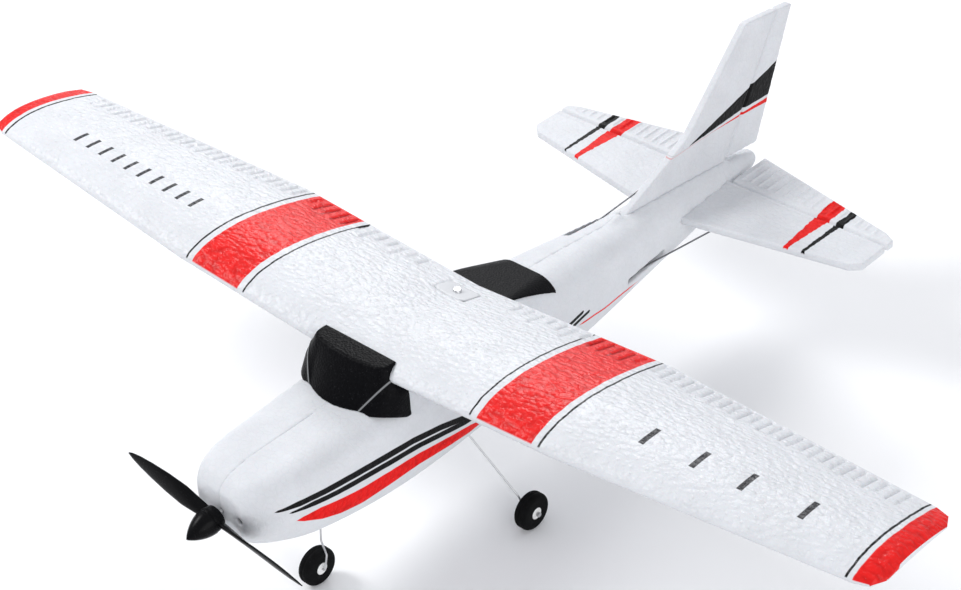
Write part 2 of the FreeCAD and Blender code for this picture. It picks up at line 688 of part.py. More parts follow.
def make_gearbox(frame, centre):
    """Front and rear plates joined by a bridge on the motor's far side, bolted to the firewall."""
    shaft = dim("shaft_radius")
    span = [(-6.4, -5), (centre + 4.6, -5), (centre + 4.6, 5), (-6.4, 5)]
    front = prism("gearbox_front", "XZ_Plane", span, 6, 2)
    rear = prism("gearbox_rear", "XZ_Plane", span, 16, 2.5)
    bridge = prism("gearbox_bridge", "XZ_Plane",
                   [(centre + 3.2, -5), (centre + 4.6, -5), (centre + 4.6, 5), (centre + 3.2, 5)], 8, 8)
    whole = joined("gearbox_solid", [front, rear, bridge])
    tools = [turned("bushing_bore", "Y", [(0, 0), (0, 2), (30, 2), (30, 0)])]
    boss = turned("motor_boss_bore", "Y", [(9, 0), (9, 1.65), (30, 1.65), (30, 0)], at(centre, 0, 0))
    peep = turned("pinion_peep", "Y", [(0, 0), (0, 1.6), (9, 1.6), (9, 0)], at(centre, 0, 0))
    tools += [boss, peep]
    screws = []
    for x, z in ((-4.2, 3), (-4.2, -3)):
        screw = turned("gearbox_screw", "Y", [(14.8, 0), (14.8, 1.6), (16, 1.6), (16, 0.8), (21.8, 0.8), (21.8, 0)],
                       at(x, 0, z))
        screws.append(screw)
    carved("gearbox_frame", whole, tools + screws, frame)
    firewall = prism("firewall_solid", "XZ_Plane", [
        (-13, -15), (13, -15), (20.4, -9), (20.4, 6), (13, 13.4), (-13, 13.4), (-20.4, 6), (-20.4, -9)], 18.6, 2)
    can_hole = turned("firewall_can_hole", "Y", [(15, 0), (15, motor_fit()), (40, motor_fit()), (40, 0)],
                      at(centre, 0, 0))
    shaft_hole = turned("firewall_shaft_hole", "Y", [(15, 0), (15, 2.2), (40, 2.2), (40, 0)])
    wall = carved("firewall", firewall, [can_hole, shaft_hole] + screws, frame)
    group = grouped("gearbox_screws", screws)
    group.Placement = frame
    return wall


def motor_fit():
    return dim("motor_radius") + 0.02


# ---------------------------------------------------------------- undercarriage

def make_wheel(name, x, y):
    """Foam-white plastic hub with a pressed-on rubber tyre, free on the wire's end."""
    wide = dim("tyre_width") / 2
    rim = dim("rim_radius")
    radius = dim("wheel_radius")
    bore = dim("gear_wire_radius") + dim("running_gap")
    place = at(x, y, radius)
    finished(turned(f"{name}_tyre", "X", [
        (-wide, rim), (-wide, radius - 2), (-wide + 0.7, radius - 0.8), (-wide + 2.1, radius),
        (wide - 2.1, radius), (wide - 0.7, radius - 0.8), (wide, radius - 2), (wide, rim)], place))
    finished(turned(f"{name}_hub", "X", [
        (-wide - 0.3, bore), (-wide - 0.3, 1.3), (-wide + 0.3, 1.5), (-wide + 0.3, 2.3), (-wide, rim),
        (wide, rim), (wide - 0.3, 2.3), (wide - 0.3, 1.5), (wide + 0.3, 1.3), (wide + 0.3, bore)], place))


def make_undercarriage():
    radius = SIZES["wheel_radius"]
    wire = SIZES["gear_wire_radius"]
    side_x = SIZES["main_wheel_x"]
    wide = SIZES["tyre_width"] / 2
    nose_y = SIZES["nose_wheel_y"]
    main_y = SIZES["main_wheel_y"]
    make_wheel("nose_wheel", 0, nose_y)
    make_wheel("left_wheel", side_x, main_y)
    make_wheel("right_wheel", -side_x, main_y)
    nose = bent_wire("nose_gear_wire", [
        Vector(0, -131, 50), Vector(0, -132.6, 20.6), Vector(5, -134.6, 16.6),
        Vector(5, nose_y, radius), Vector(-wide - 1.7, nose_y, radius)], wire, 1.0)
    inboard = side_x - wide - 1.6
    leg = [Vector(side_x + wide + 1.7, main_y, radius), Vector(inboard, main_y, radius),
           Vector(inboard, main_y - 2.6, radius + 7), Vector(22, -62, 47.6)]
    mirrored = [Vector(-point.x, point.y, point.z) for point in reversed(leg)]
    main = bent_wire("main_gear_wire", leg + mirrored, wire, 1.2)
    caps = []
    for number, (x, y) in enumerate(((side_x + wide + 0.5, main_y), (-side_x - wide - 1.7, main_y),
                                     (-wide - 1.7, nose_y))):
        caps.append(turned(f"cap_{number}", "X", [(0, wire), (0, 1.1), (1.2, 1.1), (1.2, wire)],
                           at(x, y, radius)))
    grouped("wheel_caps", caps)
    carved("nose_gear_socket", block("nose_socket", (-4, -136, 44.6), (4, -126, 52)), [nose])
    carved("main_gear_socket", block("main_socket", (-19, -66, 43.6), (19, -58, 49.4)), [main])
    finished(nose)
    finished(main)
    return nose, main


# ---------------------------------------------------------------- controls

def make_servo(name, placement):
    """Servo in its own frame: output shaft along +Z at the origin, case below and toward +Y."""
    wide = dim("servo_width") / 2
    long = dim("servo_length")
    case = prism(f"{name}_case", "XY_Plane", [(-wide, -4.4), (wide, -4.4), (wide, long - 4.4),
                                              (-wide, long - 4.4)], -dim("servo_height"), dim("servo_height"))
    ears = prism(f"{name}_ears", "XY_Plane", [(-wide, -8.4), (wide, -8.4), (wide, long - 0.4),
                                              (-wide, long - 0.4)], -5.2, 1.2)
    drill(ears, "XY_Plane", [(0, -6.4, 0.8), (0, long - 2.4, 0.8)])
    boss = turned(f"{name}_boss", "Z", [(-1, 0), (-1, 2.4), (1.2, 2.4), (1.2, 0)])
    whole = joined(f"{name}_solid", [case, ears, boss])
    bore = turned(f"{name}_bore", "Z", [(-2, 0), (-2, 1.25), (2, 1.25), (2, 0)])
    return carved(name, whole, [bore], placement)


def make_servo_arm(name, reach, placement):
    """Arm in the servo's frame: stub shaft at the origin, arm toward -X, hole at its end."""
    stub = turned(f"{name}_stub", "Z", [(-1.8, 0), (-1.8, 1.2), (1.8, 1.2), (1.8, 0)])
    arm = prism(f"{name}_lever", "XY_Plane", [(2.4, -2.4), (2.4, 2.4), (-reach - 1.4, 1.5), (-reach - 1.4, -1.5)],
                1.4, dim("arm_thickness"))
    whole = joined(f"{name}_solid", [stub, arm])
    hole = turned(f"{name}_hole", "Z", [(-4, 0), (-4, dim("arm_hole_radius")), (4, dim("arm_hole_radius")), (4, 0)],
                  at(-reach, 0, 0))
    return carved(name, whole, [hole], placement)


def make_controls(elevator_halves, rudder_blank):
    hinge_y = SIZES["elevator_hinge_y"]
    hinge_z = SIZES["tail_plane_z"]
    arm = SIZES["elevator_arm"]
    rod = SIZES["pushrod_radius"]
    # elevator: horn under the port half, servo on its side with its arm hanging down
    joiner = bent_wire("elevator_joiner", [
        Vector(-14.5, 160, hinge_z), Vector(-14.5, hinge_y, hinge_z), Vector(14.5, hinge_y, hinge_z),
        Vector(14.5, 160, hinge_z)], 0.5, 1)
    horn_x = 22.2
    horn = prism("elevator_horn", "YZ_Plane", [
        (hinge_y + 2.6, hinge_z - 0.8), (hinge_y + 10, hinge_z - 0.8), (hinge_y + 10, hinge_z - 2.4), (hinge_y + 1.6, hinge_z - arm - 1.4),
        (hinge_y - 1.4, hinge_z - arm - 1.4), (hinge_y - 1.4, hinge_z - arm + 1.2)], horn_x, dim("arm_thickness"))
    drill(horn, "YZ_Plane", [(hinge_y, hinge_z - arm, dim("arm_hole_radius"))])
    finished(horn)
    for side_blank, name in zip(elevator_halves, ("left", "right")):
        carved(f"elevator_{name}", side_blank, [joiner, horn])
    finished(joiner)
    finished(bent_wire("elevator_pushrod", [
        Vector(6.8, -52, 66), Vector(10.8, -52, 66), Vector(10, 66.8, 57),
        Vector(20.9, hinge_y, hinge_z - arm), Vector(24.6, hinge_y, hinge_z - arm)], rod, 0.8))
    on_its_side = Placement(Vector(6.4, -52, 66 + arm), Rotation(Vector(0, 1, 0), 90))
    arm_down = on_its_side.multiply(Placement(Vector(0, 0, 0), Rotation(Vector(0, 0, 1), 180)))
    make_servo("elevator_servo", arm_down)
    make_servo_arm("elevator_servo_arm", arm, arm_down)
    # rudder: horn to starboard, square to the raked hinge; servo upright
    axis = rudder_axis()
    foot = Vector(0, SIZES["rudder_hinge_foot_y"], SIZES["rudder_hinge_foot_z"])
    horn_root = foot + axis * 5
    reach = SIZES["rudder_arm"]
    lean = Rotation(Vector(1, 0, 0), -SIZES["rudder_hinge_rake"])
    rudder_horn = prism("rudder_horn", "XY_Plane", [(-2, 1.8), (-reach - 1.6, -1.4), (-reach - 1.6, 1.6),
                                                   (-2, 8)], -0.6, dim("arm_thickness"),
                        Placement(horn_root, lean))
    drill(rudder_horn, "XY_Plane", [(-reach, 0, dim("arm_hole_radius"))])
    finished(rudder_horn)
    carved("rudder", rudder_blank, [rudder_horn])
    servo_x = 2.2
    servo_y = -28
    servo_z = 73.4
    servo_reach = reach * axis.z
    make_servo("rudder_servo", at(servo_x, servo_y, servo_z))
    make_servo_arm("rudder_servo_arm", servo_reach, at(servo_x, servo_y, servo_z))
    pin_x = servo_x - servo_reach
    end = horn_root + Vector(-reach, 0, 0)
    finished(bent_wire("rudder_pushrod", [
        Vector(pin_x, servo_y, servo_z - 0.6), Vector(pin_x, servo_y, servo_z + 4.7), end + axis * 2,
        end - axis * 1.8], rod, 0.7))


# ---------------------------------------------------------------- electronics and hatch

def make_electronics():
    tray = prism("servo_tray_solid", "XY_Plane", [(-23.5, -104), (23.5, -104), (20.8, -8), (-20.8, -8)], 67, 1.2)
    rudder_hole = block("tray_rudder_hole", (-2.3, -32.6, 60), (6.7, -12.2, 80))
    arm_slot = block("tray_arm_slot", (7, -72, 60), (14, -36, 80))
    rod_slot = block("tray_front_slot", (7, -36.1, 60), (14, 0, 70))
    carved("servo_tray", tray, [rudder_hole, arm_slot, rod_slot])
    cradle = block("elevator_servo_cradle", (-10, -68, 68.2), (6, -47.4, 73.1))
    finished(cradle)
    board = block("receiver_board", (-14, -100, 69.2), (14, -74, 70.4))
    finished(board)
    pads = [block(f"board_foot_{number}", (x - 1.5, y - 1.5, 68.2), (x + 1.5, y + 1.5, 69.2))
            for number, (x, y) in enumerate(((-11, -97), (11, -97), (-11, -77), (11, -77)))]
    grouped("board_feet", pads)
    finished(block("receiver_socket", (-5, -99.6, 70.4), (5, -94, 73.6)))
    finished(block("battery", (-10, -119, 45.6), (10, -79, 54.6)))


def make_hatch():
    """Belly door under the battery, hinged along its port edge and held shut by a magnet."""
    front = SIZES["hatch_front_y"]
    back = SIZES["hatch_back_y"]
    floor = SIZES["hatch_floor_z"]
    seat_z = floor + 2.4
    pin_x = 10.6
    pin_z = floor + 1
    pin = turned("hatch_hinge_pin", "Y", [(front - 1.6, 0), (front - 1.6, 0.5), (back + 1.6, 0.5), (back + 1.6, 0)],
                 at(pin_x, 0, pin_z))
    door = block("hatch_panel", (-11, front, floor), (11.6, back, floor + 1.9))
    bore = turned("hatch_bore", "Y", [(front - 5, 0), (front - 5, 0.56), (back + 5, 0.56), (back + 5, 0)],
                  at(pin_x, 0, pin_z))
    middle_y = (front + back) / 2
    magnet = turned("hatch_magnet", "Z", [(0.9, 0), (0.9, 1.5), (1.9, 1.5), (1.9, 0)], at(-8.8, middle_y, floor))
    carved("battery_hatch", door, [bore, magnet])
    finished(magnet)
    outer = block("frame_outer", (-14, front - 2.6, seat_z), (14, back + 2.6, seat_z + 1.5))
    inner = block("frame_inner", (-10.4, front + 2.4, floor), (10.4, back - 2.4, seat_z + 5))
    lugs = [block("frame_lug_front", (9, front - 2.6, floor), (12.4, front - 0.4, seat_z)),
            block("frame_lug_back", (9, back + 0.4, floor), (12.4, back + 2.6, seat_z))]
    keeper = turned("hatch_keeper", "Z", [(0, 0), (0, 1.5), (0.8, 1.5), (0.8, 0)], at(-12, middle_y, seat_z))
    carved("hatch_frame", joined("frame_solid", [outer] + lugs), [inner, keeper, pin])
    finished(keeper)
    finished(pin)
    below = floor - 10
    hole = block("hatch_hole", (-11.4, front - 0.4, below), (12.6, back + 0.4, floor + 5))
    seat = block("hatch_seat", (-14, front - 2.6, seat_z), (14, back + 2.6, seat_z + 1.5))
    lug_seats = [block("lug_seat_front", (9, front - 2.6, below), (12.4, front - 0.4, seat_z)),
                 block("lug_seat_back", (9, back + 0.4, below), (12.4, back + 2.6, seat_z))]
    return [hole, seat] + lug_seats


# ---------------------------------------------------------------- assembly

def make_fuselage(shells, wing_blank, fin_blank, extra_tools):
    frame = thrust_frame()
    shaft_hole = turned("cowl_shaft_hole", "Y", [(-5, 0), (-5, 1.5), (4.9, 1.5), (4.9, 3.4), (12, 3.4), (12, 0)],
                        frame)
    centre = SIZES["gear_module"] * (SIZES["spur_teeth"] + SIZES["pinion_teeth"]) / 2
    peep = turned("cowl_peep_hole", "Y", [(-8, 0), (-8, 1.7), (12, 1.7), (12, 0)], frame.multiply(at(centre, 0, 0)))
    gear_room = prism("cowl_gear_room", "XZ_Plane", [(-9, -9), (15.2, -9), (15.2, 9), (-9, 9)], 8, 10.6, frame)
    plate_seat = prism("cowl_plate_seat", "XZ_Plane", [(-6.4, -5), (15.1, -5), (15.1, 5), (-6.4, 5)], 6, 2, frame)
    hinge_y = SIZES["elevator_hinge_y"]
    joiner_hole = turned("joiner_hole", "X", [(-20, 0), (-20, 0.8), (20, 0.8), (20, 0)],
                         at(0, hinge_y, SIZES["tail_plane_z"]))
    elevator_slot = block("elevator_rod_slot", (8.5, 60, 56), (16, 92, 58.7))
    rudder_slot = block("rudder_rod_slot", (-10.4, 41, 77.6), (-6.3, 94, 90))
    rudder_room = prism("rudder_room", "YZ_Plane", [(148.5, 76.2), (190, 70), (190, 90), (152, 90)], -14, 28)
    tools = [wing_blank, fin_blank, shaft_hole, peep, gear_room, plate_seat, joiner_hole, elevator_slot, rudder_slot,
             rudder_room] + extra_tools
    for shell, name in zip(shells, ("left", "right")):
        carved(f"fuselage_{name}", shell, tools)


def find_part(label):
    return next(piece for piece in PARTS if piece.Label == label)


def build():
    fill_sheet()
    left_shell, left_solid = fuselage_blank(1, "left")
    right_shell, right_solid = fuselage_blank(-1, "right")
    outsides = [left_solid, right_solid]
    wing_blank, beam = make_wing()
    make_windshield(outsides, wing_blank)
    make_rear_window(outsides, wing_blank)
    fin_blank, rudder_blank = make_fin_and_rudder()
    stabiliser, elevator_halves = make_tail_plane()
    make_power_train()
    nose, main = make_undercarriage()
    make_controls(elevator_halves, rudder_blank)
    make_electronics()
    hatch_tools = make_hatch()
    carved("fin", fin_blank, [stabiliser])
    embedded = [stabiliser, nose, main, beam] + hatch_tools
    embedded += [find_part(label) for label in ("firewall", "servo_tray", "nose_gear_socket", "main_gear_socket",
                                              "wing_screw")]
    make_fuselage([left_shell, right_shell], wing_blank, fin_blank, embedded)


def write_parts():
    doc.recompute()
    for thing in doc.Objects:
        if {"Invalid", "Error"} & set(thing.State):
            raise RuntimeError(f"{thing.Label} failed: {thing.State}")
    os.makedirs("parts", exist_ok=True)
    for piece in PARTS:
        shape = piece.Shape
        if shape.isNull() or not shape.isValid():
            raise RuntimeError(f"{piece.Label} has no valid shape")
        shape.exportStep(f"parts/{piece.Label}.step")
        print(f"{piece.Label:24s} solids {len(shape.Solids)} volume {shape.Volume:10.1f}")


build()
write_parts()
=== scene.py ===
"""Looks for the foam trainer aeroplane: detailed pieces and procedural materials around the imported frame."""
import math

import bmesh
import bpy
import numpy as np
from mathutils import Matrix, Vector
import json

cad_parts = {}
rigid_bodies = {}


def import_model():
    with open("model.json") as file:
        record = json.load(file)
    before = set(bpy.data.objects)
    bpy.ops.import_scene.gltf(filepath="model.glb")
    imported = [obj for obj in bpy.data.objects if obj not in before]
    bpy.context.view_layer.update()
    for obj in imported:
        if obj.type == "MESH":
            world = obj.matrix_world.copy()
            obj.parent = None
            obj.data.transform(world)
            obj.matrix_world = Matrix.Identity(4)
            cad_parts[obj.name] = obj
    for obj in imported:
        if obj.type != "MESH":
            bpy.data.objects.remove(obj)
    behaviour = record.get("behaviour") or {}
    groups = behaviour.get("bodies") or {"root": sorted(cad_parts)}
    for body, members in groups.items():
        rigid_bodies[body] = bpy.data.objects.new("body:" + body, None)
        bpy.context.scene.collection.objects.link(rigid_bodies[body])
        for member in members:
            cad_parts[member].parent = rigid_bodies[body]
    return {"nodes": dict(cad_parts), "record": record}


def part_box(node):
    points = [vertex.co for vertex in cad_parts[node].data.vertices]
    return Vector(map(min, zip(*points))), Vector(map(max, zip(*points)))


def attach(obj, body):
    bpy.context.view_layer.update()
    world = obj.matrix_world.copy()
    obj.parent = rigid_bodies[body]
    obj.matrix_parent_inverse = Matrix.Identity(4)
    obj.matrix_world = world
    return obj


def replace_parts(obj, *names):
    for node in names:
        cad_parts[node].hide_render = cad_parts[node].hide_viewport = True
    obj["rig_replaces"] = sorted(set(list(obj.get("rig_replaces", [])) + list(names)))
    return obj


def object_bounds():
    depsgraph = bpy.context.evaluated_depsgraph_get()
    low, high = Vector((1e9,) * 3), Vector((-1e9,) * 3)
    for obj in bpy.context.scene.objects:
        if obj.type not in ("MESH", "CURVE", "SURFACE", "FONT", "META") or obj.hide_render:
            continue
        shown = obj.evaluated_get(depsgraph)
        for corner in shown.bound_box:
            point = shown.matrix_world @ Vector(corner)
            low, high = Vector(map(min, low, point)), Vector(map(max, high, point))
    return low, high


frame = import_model()
cad_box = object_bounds()

MM = 0.001
BODY_OF = {node: body for body, nodes in frame["record"]["behaviour"]["bodies"].items() for node in nodes}
SLOT_OF = {row["node"]: row["material_slot"] for row in frame["record"]["subparts"]}
SHAFT_TILT = math.radians(7)
SHAFT_CENTRE = Vector((0, -0.1864, 0.0716))
WHITE = (0.70, 0.712, 0.737)
RED = (0.70, 0.006, 0.005)
BLACK = (0.001, 0.001, 0.0012)
TICK = (0.03, 0.03, 0.034)
HARD_EDGE = 0.2 * MM
THIN_EDGE = 0.06 * MM
SEAM_REACH = 2.5 * MM
SEAM_LAP = 0.3 * MM
FIN_RAKE = math.radians(29.6)
RUDDER_FOOT = (152 * MM, 77 * MM)


# ---------------------------------------------------------------- material helpers

class Value:
    """A shader number that can be used in ordinary arithmetic."""

    def __init__(self, paint, socket):
        self.paint = paint
        self.socket = socket

    def op(self, name, *others):
        node = self.paint.node("ShaderNodeMath", operation=name)
        for index, item in enumerate((self,) + others):
            self.paint.feed(node.inputs[index], item)
        return Value(self.paint, node.outputs[0])

    def __add__(self, other):
        return self.op("ADD", other)

    def __radd__(self, other):
        return self.op("ADD", other)

    def __sub__(self, other):
        return self.op("SUBTRACT", other)

    def __rsub__(self, other):
        return self.op("MULTIPLY", -1).op("ADD", other)

    def __mul__(self, other):
        return self.op("MULTIPLY", other)

    def __rmul__(self, other):
        return self.op("MULTIPLY", other)

    def __truediv__(self, other):
        return self.op("DIVIDE", other)

    def above(self, edge, soft):
        """0 below the edge, 1 above it, with a soft step between."""
        gap = (self - edge) / (2 * soft) + 0.5
        node = self.paint.node("ShaderNodeClamp")
        self.paint.feed(node.inputs[0], gap)
        return Value(self.paint, node.outputs[0])

    def between(self, low, high, soft):
        return self.above(low, soft) * (1 - self.above(high, soft))

    def along(self, points):
        """A polyline through (input, output) points, held level at both ends."""
        total = None
        for (x0, y0), (x1, y1) in zip(points, points[1:]):
            run = self.op("SUBTRACT", x0).op("MAXIMUM", 0).op("MINIMUM", x1 - x0)
            part = run * ((y1 - y0) / (x1 - x0))
            total = part if total is None else total + part
        return total + points[0][1]


class Paint:
    """One procedural material on the row frame's coordinates."""

    def __init__(self, name, rough=0.5, specular=0.5, metallic=0.0, coat=0.0, sheen=0.0, subsurface=0.0):
        self.material = bpy.data.materials.new(name)
        self.material.use_nodes = True
        self.tree = self.material.node_tree
        self.shader = self.tree.nodes["Principled BSDF"]
        self.shader.inputs["Roughness"].default_value = rough
        self.shader.inputs["Specular IOR Level"].default_value = specular
        self.shader.inputs["Metallic"].default_value = metallic
        self.shader.inputs["Coat Weight"].default_value = coat
        self.shader.inputs["Sheen Weight"].default_value = sheen
        self.shader.inputs["Subsurface Weight"].default_value = subsurface
        self.shader.inputs["Subsurface Scale"].default_value = 0.002
        coordinates = self.node("ShaderNodeTexCoord")
        self.place = coordinates.outputs["Object"]
        split = self.node("ShaderNodeSeparateXYZ")
        self.tree.links.new(self.place, split.inputs[0])
        self.x, self.y, self.z = (Value(self, out) for out in split.outputs)
        facing = self.node("ShaderNodeSeparateXYZ")
        self.tree.links.new(coordinates.outputs["Normal"], facing.inputs[0])
        self.face_y, self.face_z = (Value(self, out) for out in facing.outputs[1:])
        self.bump = None

    def node(self, kind, **settings):
        made = self.tree.nodes.new(kind)
        for key, value in settings.items():
            setattr(made, key, value)
        return made

    def feed(self, socket, item):
        if isinstance(item, Value):
            self.tree.links.new(item.socket, socket)
        elif isinstance(item, bpy.types.NodeSocket):
            self.tree.links.new(item, socket)
        else:
            socket.default_value = item

    def stretched(self, scale):
        node = self.node("ShaderNodeVectorMath", operation="MULTIPLY")
        self.feed(node.inputs[0], self.place)
        node.inputs[1].default_value = scale
        return node.outputs[0]

    def noise(self, size, detail=3, rough=0.55, stretch=(1, 1, 1), warp=0.0):
        """Soft noise whose blobs are about this size in metres."""
        node = self.node("ShaderNodeTexNoise")
        self.feed(node.inputs["Vector"], self.stretched(stretch))
        node.inputs["Scale"].default_value = 1 / size
        node.inputs["Detail"].default_value = detail
        node.inputs["Roughness"].default_value = rough
        node.inputs["Distortion"].default_value = warp
        return Value(self, node.outputs["Fac"])

    def cells(self, size, feature="F1", stretch=(1, 1, 1), warp=0.0, warp_size=0.002):
        """Bead pattern: the distance to the nearest bead or to the border between beads."""
        vector = self.stretched(stretch)
        if warp:
            wander = self.node("ShaderNodeTexNoise")
            self.feed(wander.inputs["Vector"], self.place)
            wander.inputs["Scale"].default_value = 1 / warp_size
            shifted = self.node("ShaderNodeVectorMath", operation="MULTIPLY_ADD")
            self.feed(shifted.inputs[0], wander.outputs["Color"])
            shifted.inputs[1].default_value = (warp, warp, warp)
            self.feed(shifted.inputs[2], vector)
            vector = shifted.outputs[0]
        node = self.node("ShaderNodeTexVoronoi", feature=feature)
        self.feed(node.inputs["Vector"], vector)
        node.inputs["Scale"].default_value = 1 / size
        return Value(self, node.outputs["Distance"])

    def mix(self, share, low, high):
        node = self.node("ShaderNodeMix", data_type="RGBA")
        self.feed(node.inputs["Factor"], share)
        self.feed(node.inputs["A"], low if not isinstance(low, tuple) else low + (1,))
        self.feed(node.inputs["B"], high if not isinstance(high, tuple) else high + (1,))
        return node.outputs["Result"]

    def colour(self, socket):
        self.feed(self.shader.inputs["Base Color"], socket)

    def roughness(self, value):
        self.feed(self.shader.inputs["Roughness"], value)

    def raised(self, height, depth, strength=1.0):
        """Adds a relief whose full height is depth, in metres."""
        node = self.node("ShaderNodeBump")
        node.inputs["Strength"].default_value = strength
        node.inputs["Distance"].default_value = depth
        self.feed(node.inputs["Height"], height)
        if self.bump is not None:
            self.feed(node.inputs["Normal"], self.bump)
        self.bump = node.outputs["Normal"]
        self.feed(self.shader.inputs["Normal"], self.bump)


def foam_paint(name, leather, marks=None, rough=0.46, beads=0.22, gloss=0.09):
    """White moulded bead foam. leather is the depth of its wrinkled skin; marks adds printed colour."""
    paint = Paint(name, rough=rough, specular=gloss, subsurface=0.03)
    borders = paint.cells(2.9 * MM, "DISTANCE_TO_EDGE", warp=0.0012)
    creases = 1 - paint.cells(2.3 * MM, "SMOOTH_F1", stretch=(0.75, 1.35, 1), warp=0.0028, warp_size=0.0035)
    mottle = paint.noise(14 * MM, 4)
    fine = paint.noise(0.9 * MM, 3)
    border = 1 - borders.above(0.05, 0.05)
    dirt = paint.noise(60 * MM, 3)
    shade = paint.mix(mottle.above(0.5, 0.25), tuple(c * 0.93 for c in WHITE), tuple(c * 1.02 for c in WHITE))
    shade = paint.mix(border * beads, shade, tuple(c * 0.72 for c in WHITE))
    soiled = tuple(c * t for c, t in zip(WHITE, (0.86, 0.85, 0.82)))
    shade = paint.mix(dirt.above(0.60, 0.12) * 0.12, shade, soiled)
    if marks is not None:
        shade = marks(paint, shade, fine, creases)
    paint.colour(shade)
    paint.roughness(fine * 0.16 + (rough - 0.08))
    paint.raised(paint.noise(22 * MM, 2), 0.5 * MM, 0.5)
    paint.raised(creases, leather, 1.0)
    paint.raised(borders.above(0.06, 0.06), 0.08 * MM, 0.6)
    paint.raised(fine, 0.08 * MM, 0.5)
    return paint


def printed(paint, shade, mask, ink, creases, wear):
    """Ink on foam: a little lighter on the crease tops as a painted highlight, and darker in the hollows as painted
    shade.
    """
    # painted highlight on the raised creases and painted shade in the hollows between them
    light = tuple(min(1, c * 1.12 + 0.004) for c in ink)
    ink_in_painted_shade = tuple(c * 0.84 for c in ink)
    tone = paint.mix(creases.above(0.45, 0.22), ink_in_painted_shade, light)
    broken = 1 - wear.above(0.74, 0.05) * 0.2
    return paint.mix(mask * broken, shade, tone)


def wing_marks(paint, shade, fine, creases):
    wobble = (paint.noise(5 * MM, 2) - 0.5) * (0.9 * MM)
    out = paint.x.op("ABSOLUTE") + wobble
    upper = paint.face_z.above(0.12, 0.05) * paint.face_y.above(-0.80, 0.06)
    bands = out.between(69.7 * MM, 98.6 * MM, 0.18 * MM)
    tips = out.above(240.6 * MM, 0.2 * MM)
    shade = printed(paint, shade, (bands + tips) * upper, RED, creases, fine)
    # painted shade: darker red along the moulded rib grooves in the red bands, where the grooves fall into shadow
    away = ((paint.x.op("ABSOLUTE") - 72.2 * MM + 2.85 * MM).op("MODULO", 5.7 * MM) - 2.85 * MM).op("ABSOLUTE")
    rib_groove_shade = (1 - away.above(0.75 * MM, 0.2 * MM)) * out.between(70.5 * MM, 92.5 * MM, 0.2 * MM)
    rib_groove_shade = rib_groove_shade * paint.y.between(-41.5 * MM, -28.6 * MM, 0.6 * MM) * upper
    shade = paint.mix(rib_groove_shade * 0.85, shade, (0.42, 0.004, 0.004))
    lines = out.between(65.6 * MM, 66.5 * MM, 0.12 * MM) + out.between(101.6 * MM, 102.6 * MM, 0.12 * MM)
    lines = lines + out.between(237.6 * MM, 238.6 * MM, 0.12 * MM)
    shade = printed(paint, shade, lines * upper, BLACK, creases, fine)
    # plain bars: four on the port wing and ten on the starboard one
    bars = [(middle, 1.3, -86, -74.5) for middle in (136.5, 160.5, 182.5, 209.5)]
    bars += [(-124 - number * 8.9, 1.0, -84, -75.5) for number in range(10)]
    ticks = None
    for middle, half, front, back in bars:
        bar = paint.x.between((middle - half) * MM, (middle + half) * MM, 0.15 * MM)
        bar = bar * paint.y.between(front * MM, back * MM, 0.15 * MM)
        ticks = bar if ticks is None else ticks + bar
    return printed(paint, shade, ticks * upper, TICK, creases, fine)


def tail_marks(paint, shade, fine, creases):
    wobble = (paint.noise(3.2 * MM, 2) - 0.5) * (1.5 * MM)
    out = paint.x.op("ABSOLUTE") + wobble
    upper = paint.face_z.above(0.1, 0.08)
    low = paint.y.along([(118 * MM, 62.7 * MM), (146 * MM, 60.2 * MM), (158 * MM, 59.2 * MM)])
    high = paint.y.along([(118 * MM, 65.4 * MM), (146 * MM, 67.4 * MM), (158 * MM, 67.2 * MM)])
    red = out.above(low, 0.15 * MM) * (1 - out.above(high, 0.15 * MM))
    shade = printed(paint, shade, red * upper, RED, creases, fine)
    low = paint.y.along([(118 * MM, 71.6 * MM), (144 * MM, 71.6 * MM), (147 * MM, 70.9 * MM), (158 * MM, 71.2 * MM)])
    high = paint.y.along([(118 * MM, 73.2 * MM), (144 * MM, 74.2 * MM), (147 * MM, 75.2 * MM), (158 * MM, 75 * MM)])
    black = out.above(low, 0.15 * MM) * (1 - out.above(high, 0.15 * MM))
    return printed(paint, shade, black * upper, BLACK, creases, fine)


def fin_marks(paint, shade, fine, creases):
    wobble = (paint.noise(4 * MM, 2) - 0.5) * (0.6 * MM)
    height = paint.z + wobble
    top = paint.y.along([(121 * MM, 98.5 * MM), (163 * MM, 108.2 * MM), (192 * MM, 115 * MM)])
    low = paint.y.along([(121 * MM, 98.5 * MM), (163 * MM, 99.8 * MM), (188 * MM, 98.4 * MM)])
    black = (height - low).above(0, 0.12 * MM) * (top - height).above(0, 0.12 * MM)
    shade = printed(paint, shade, black, BLACK, creases, fine)
    top = paint.y.along([(141 * MM, 98.0 * MM), (161 * MM, 97.7 * MM), (187 * MM, 97.0 * MM)])
    low = paint.y.along([(141 * MM, 97.9 * MM), (161 * MM, 96.7 * MM), (187 * MM, 94.4 * MM)])
    red = (height - low).above(0, 0.12 * MM) * (top - height).above(0, 0.12 * MM)
    return printed(paint, shade, red, RED, creases, fine)


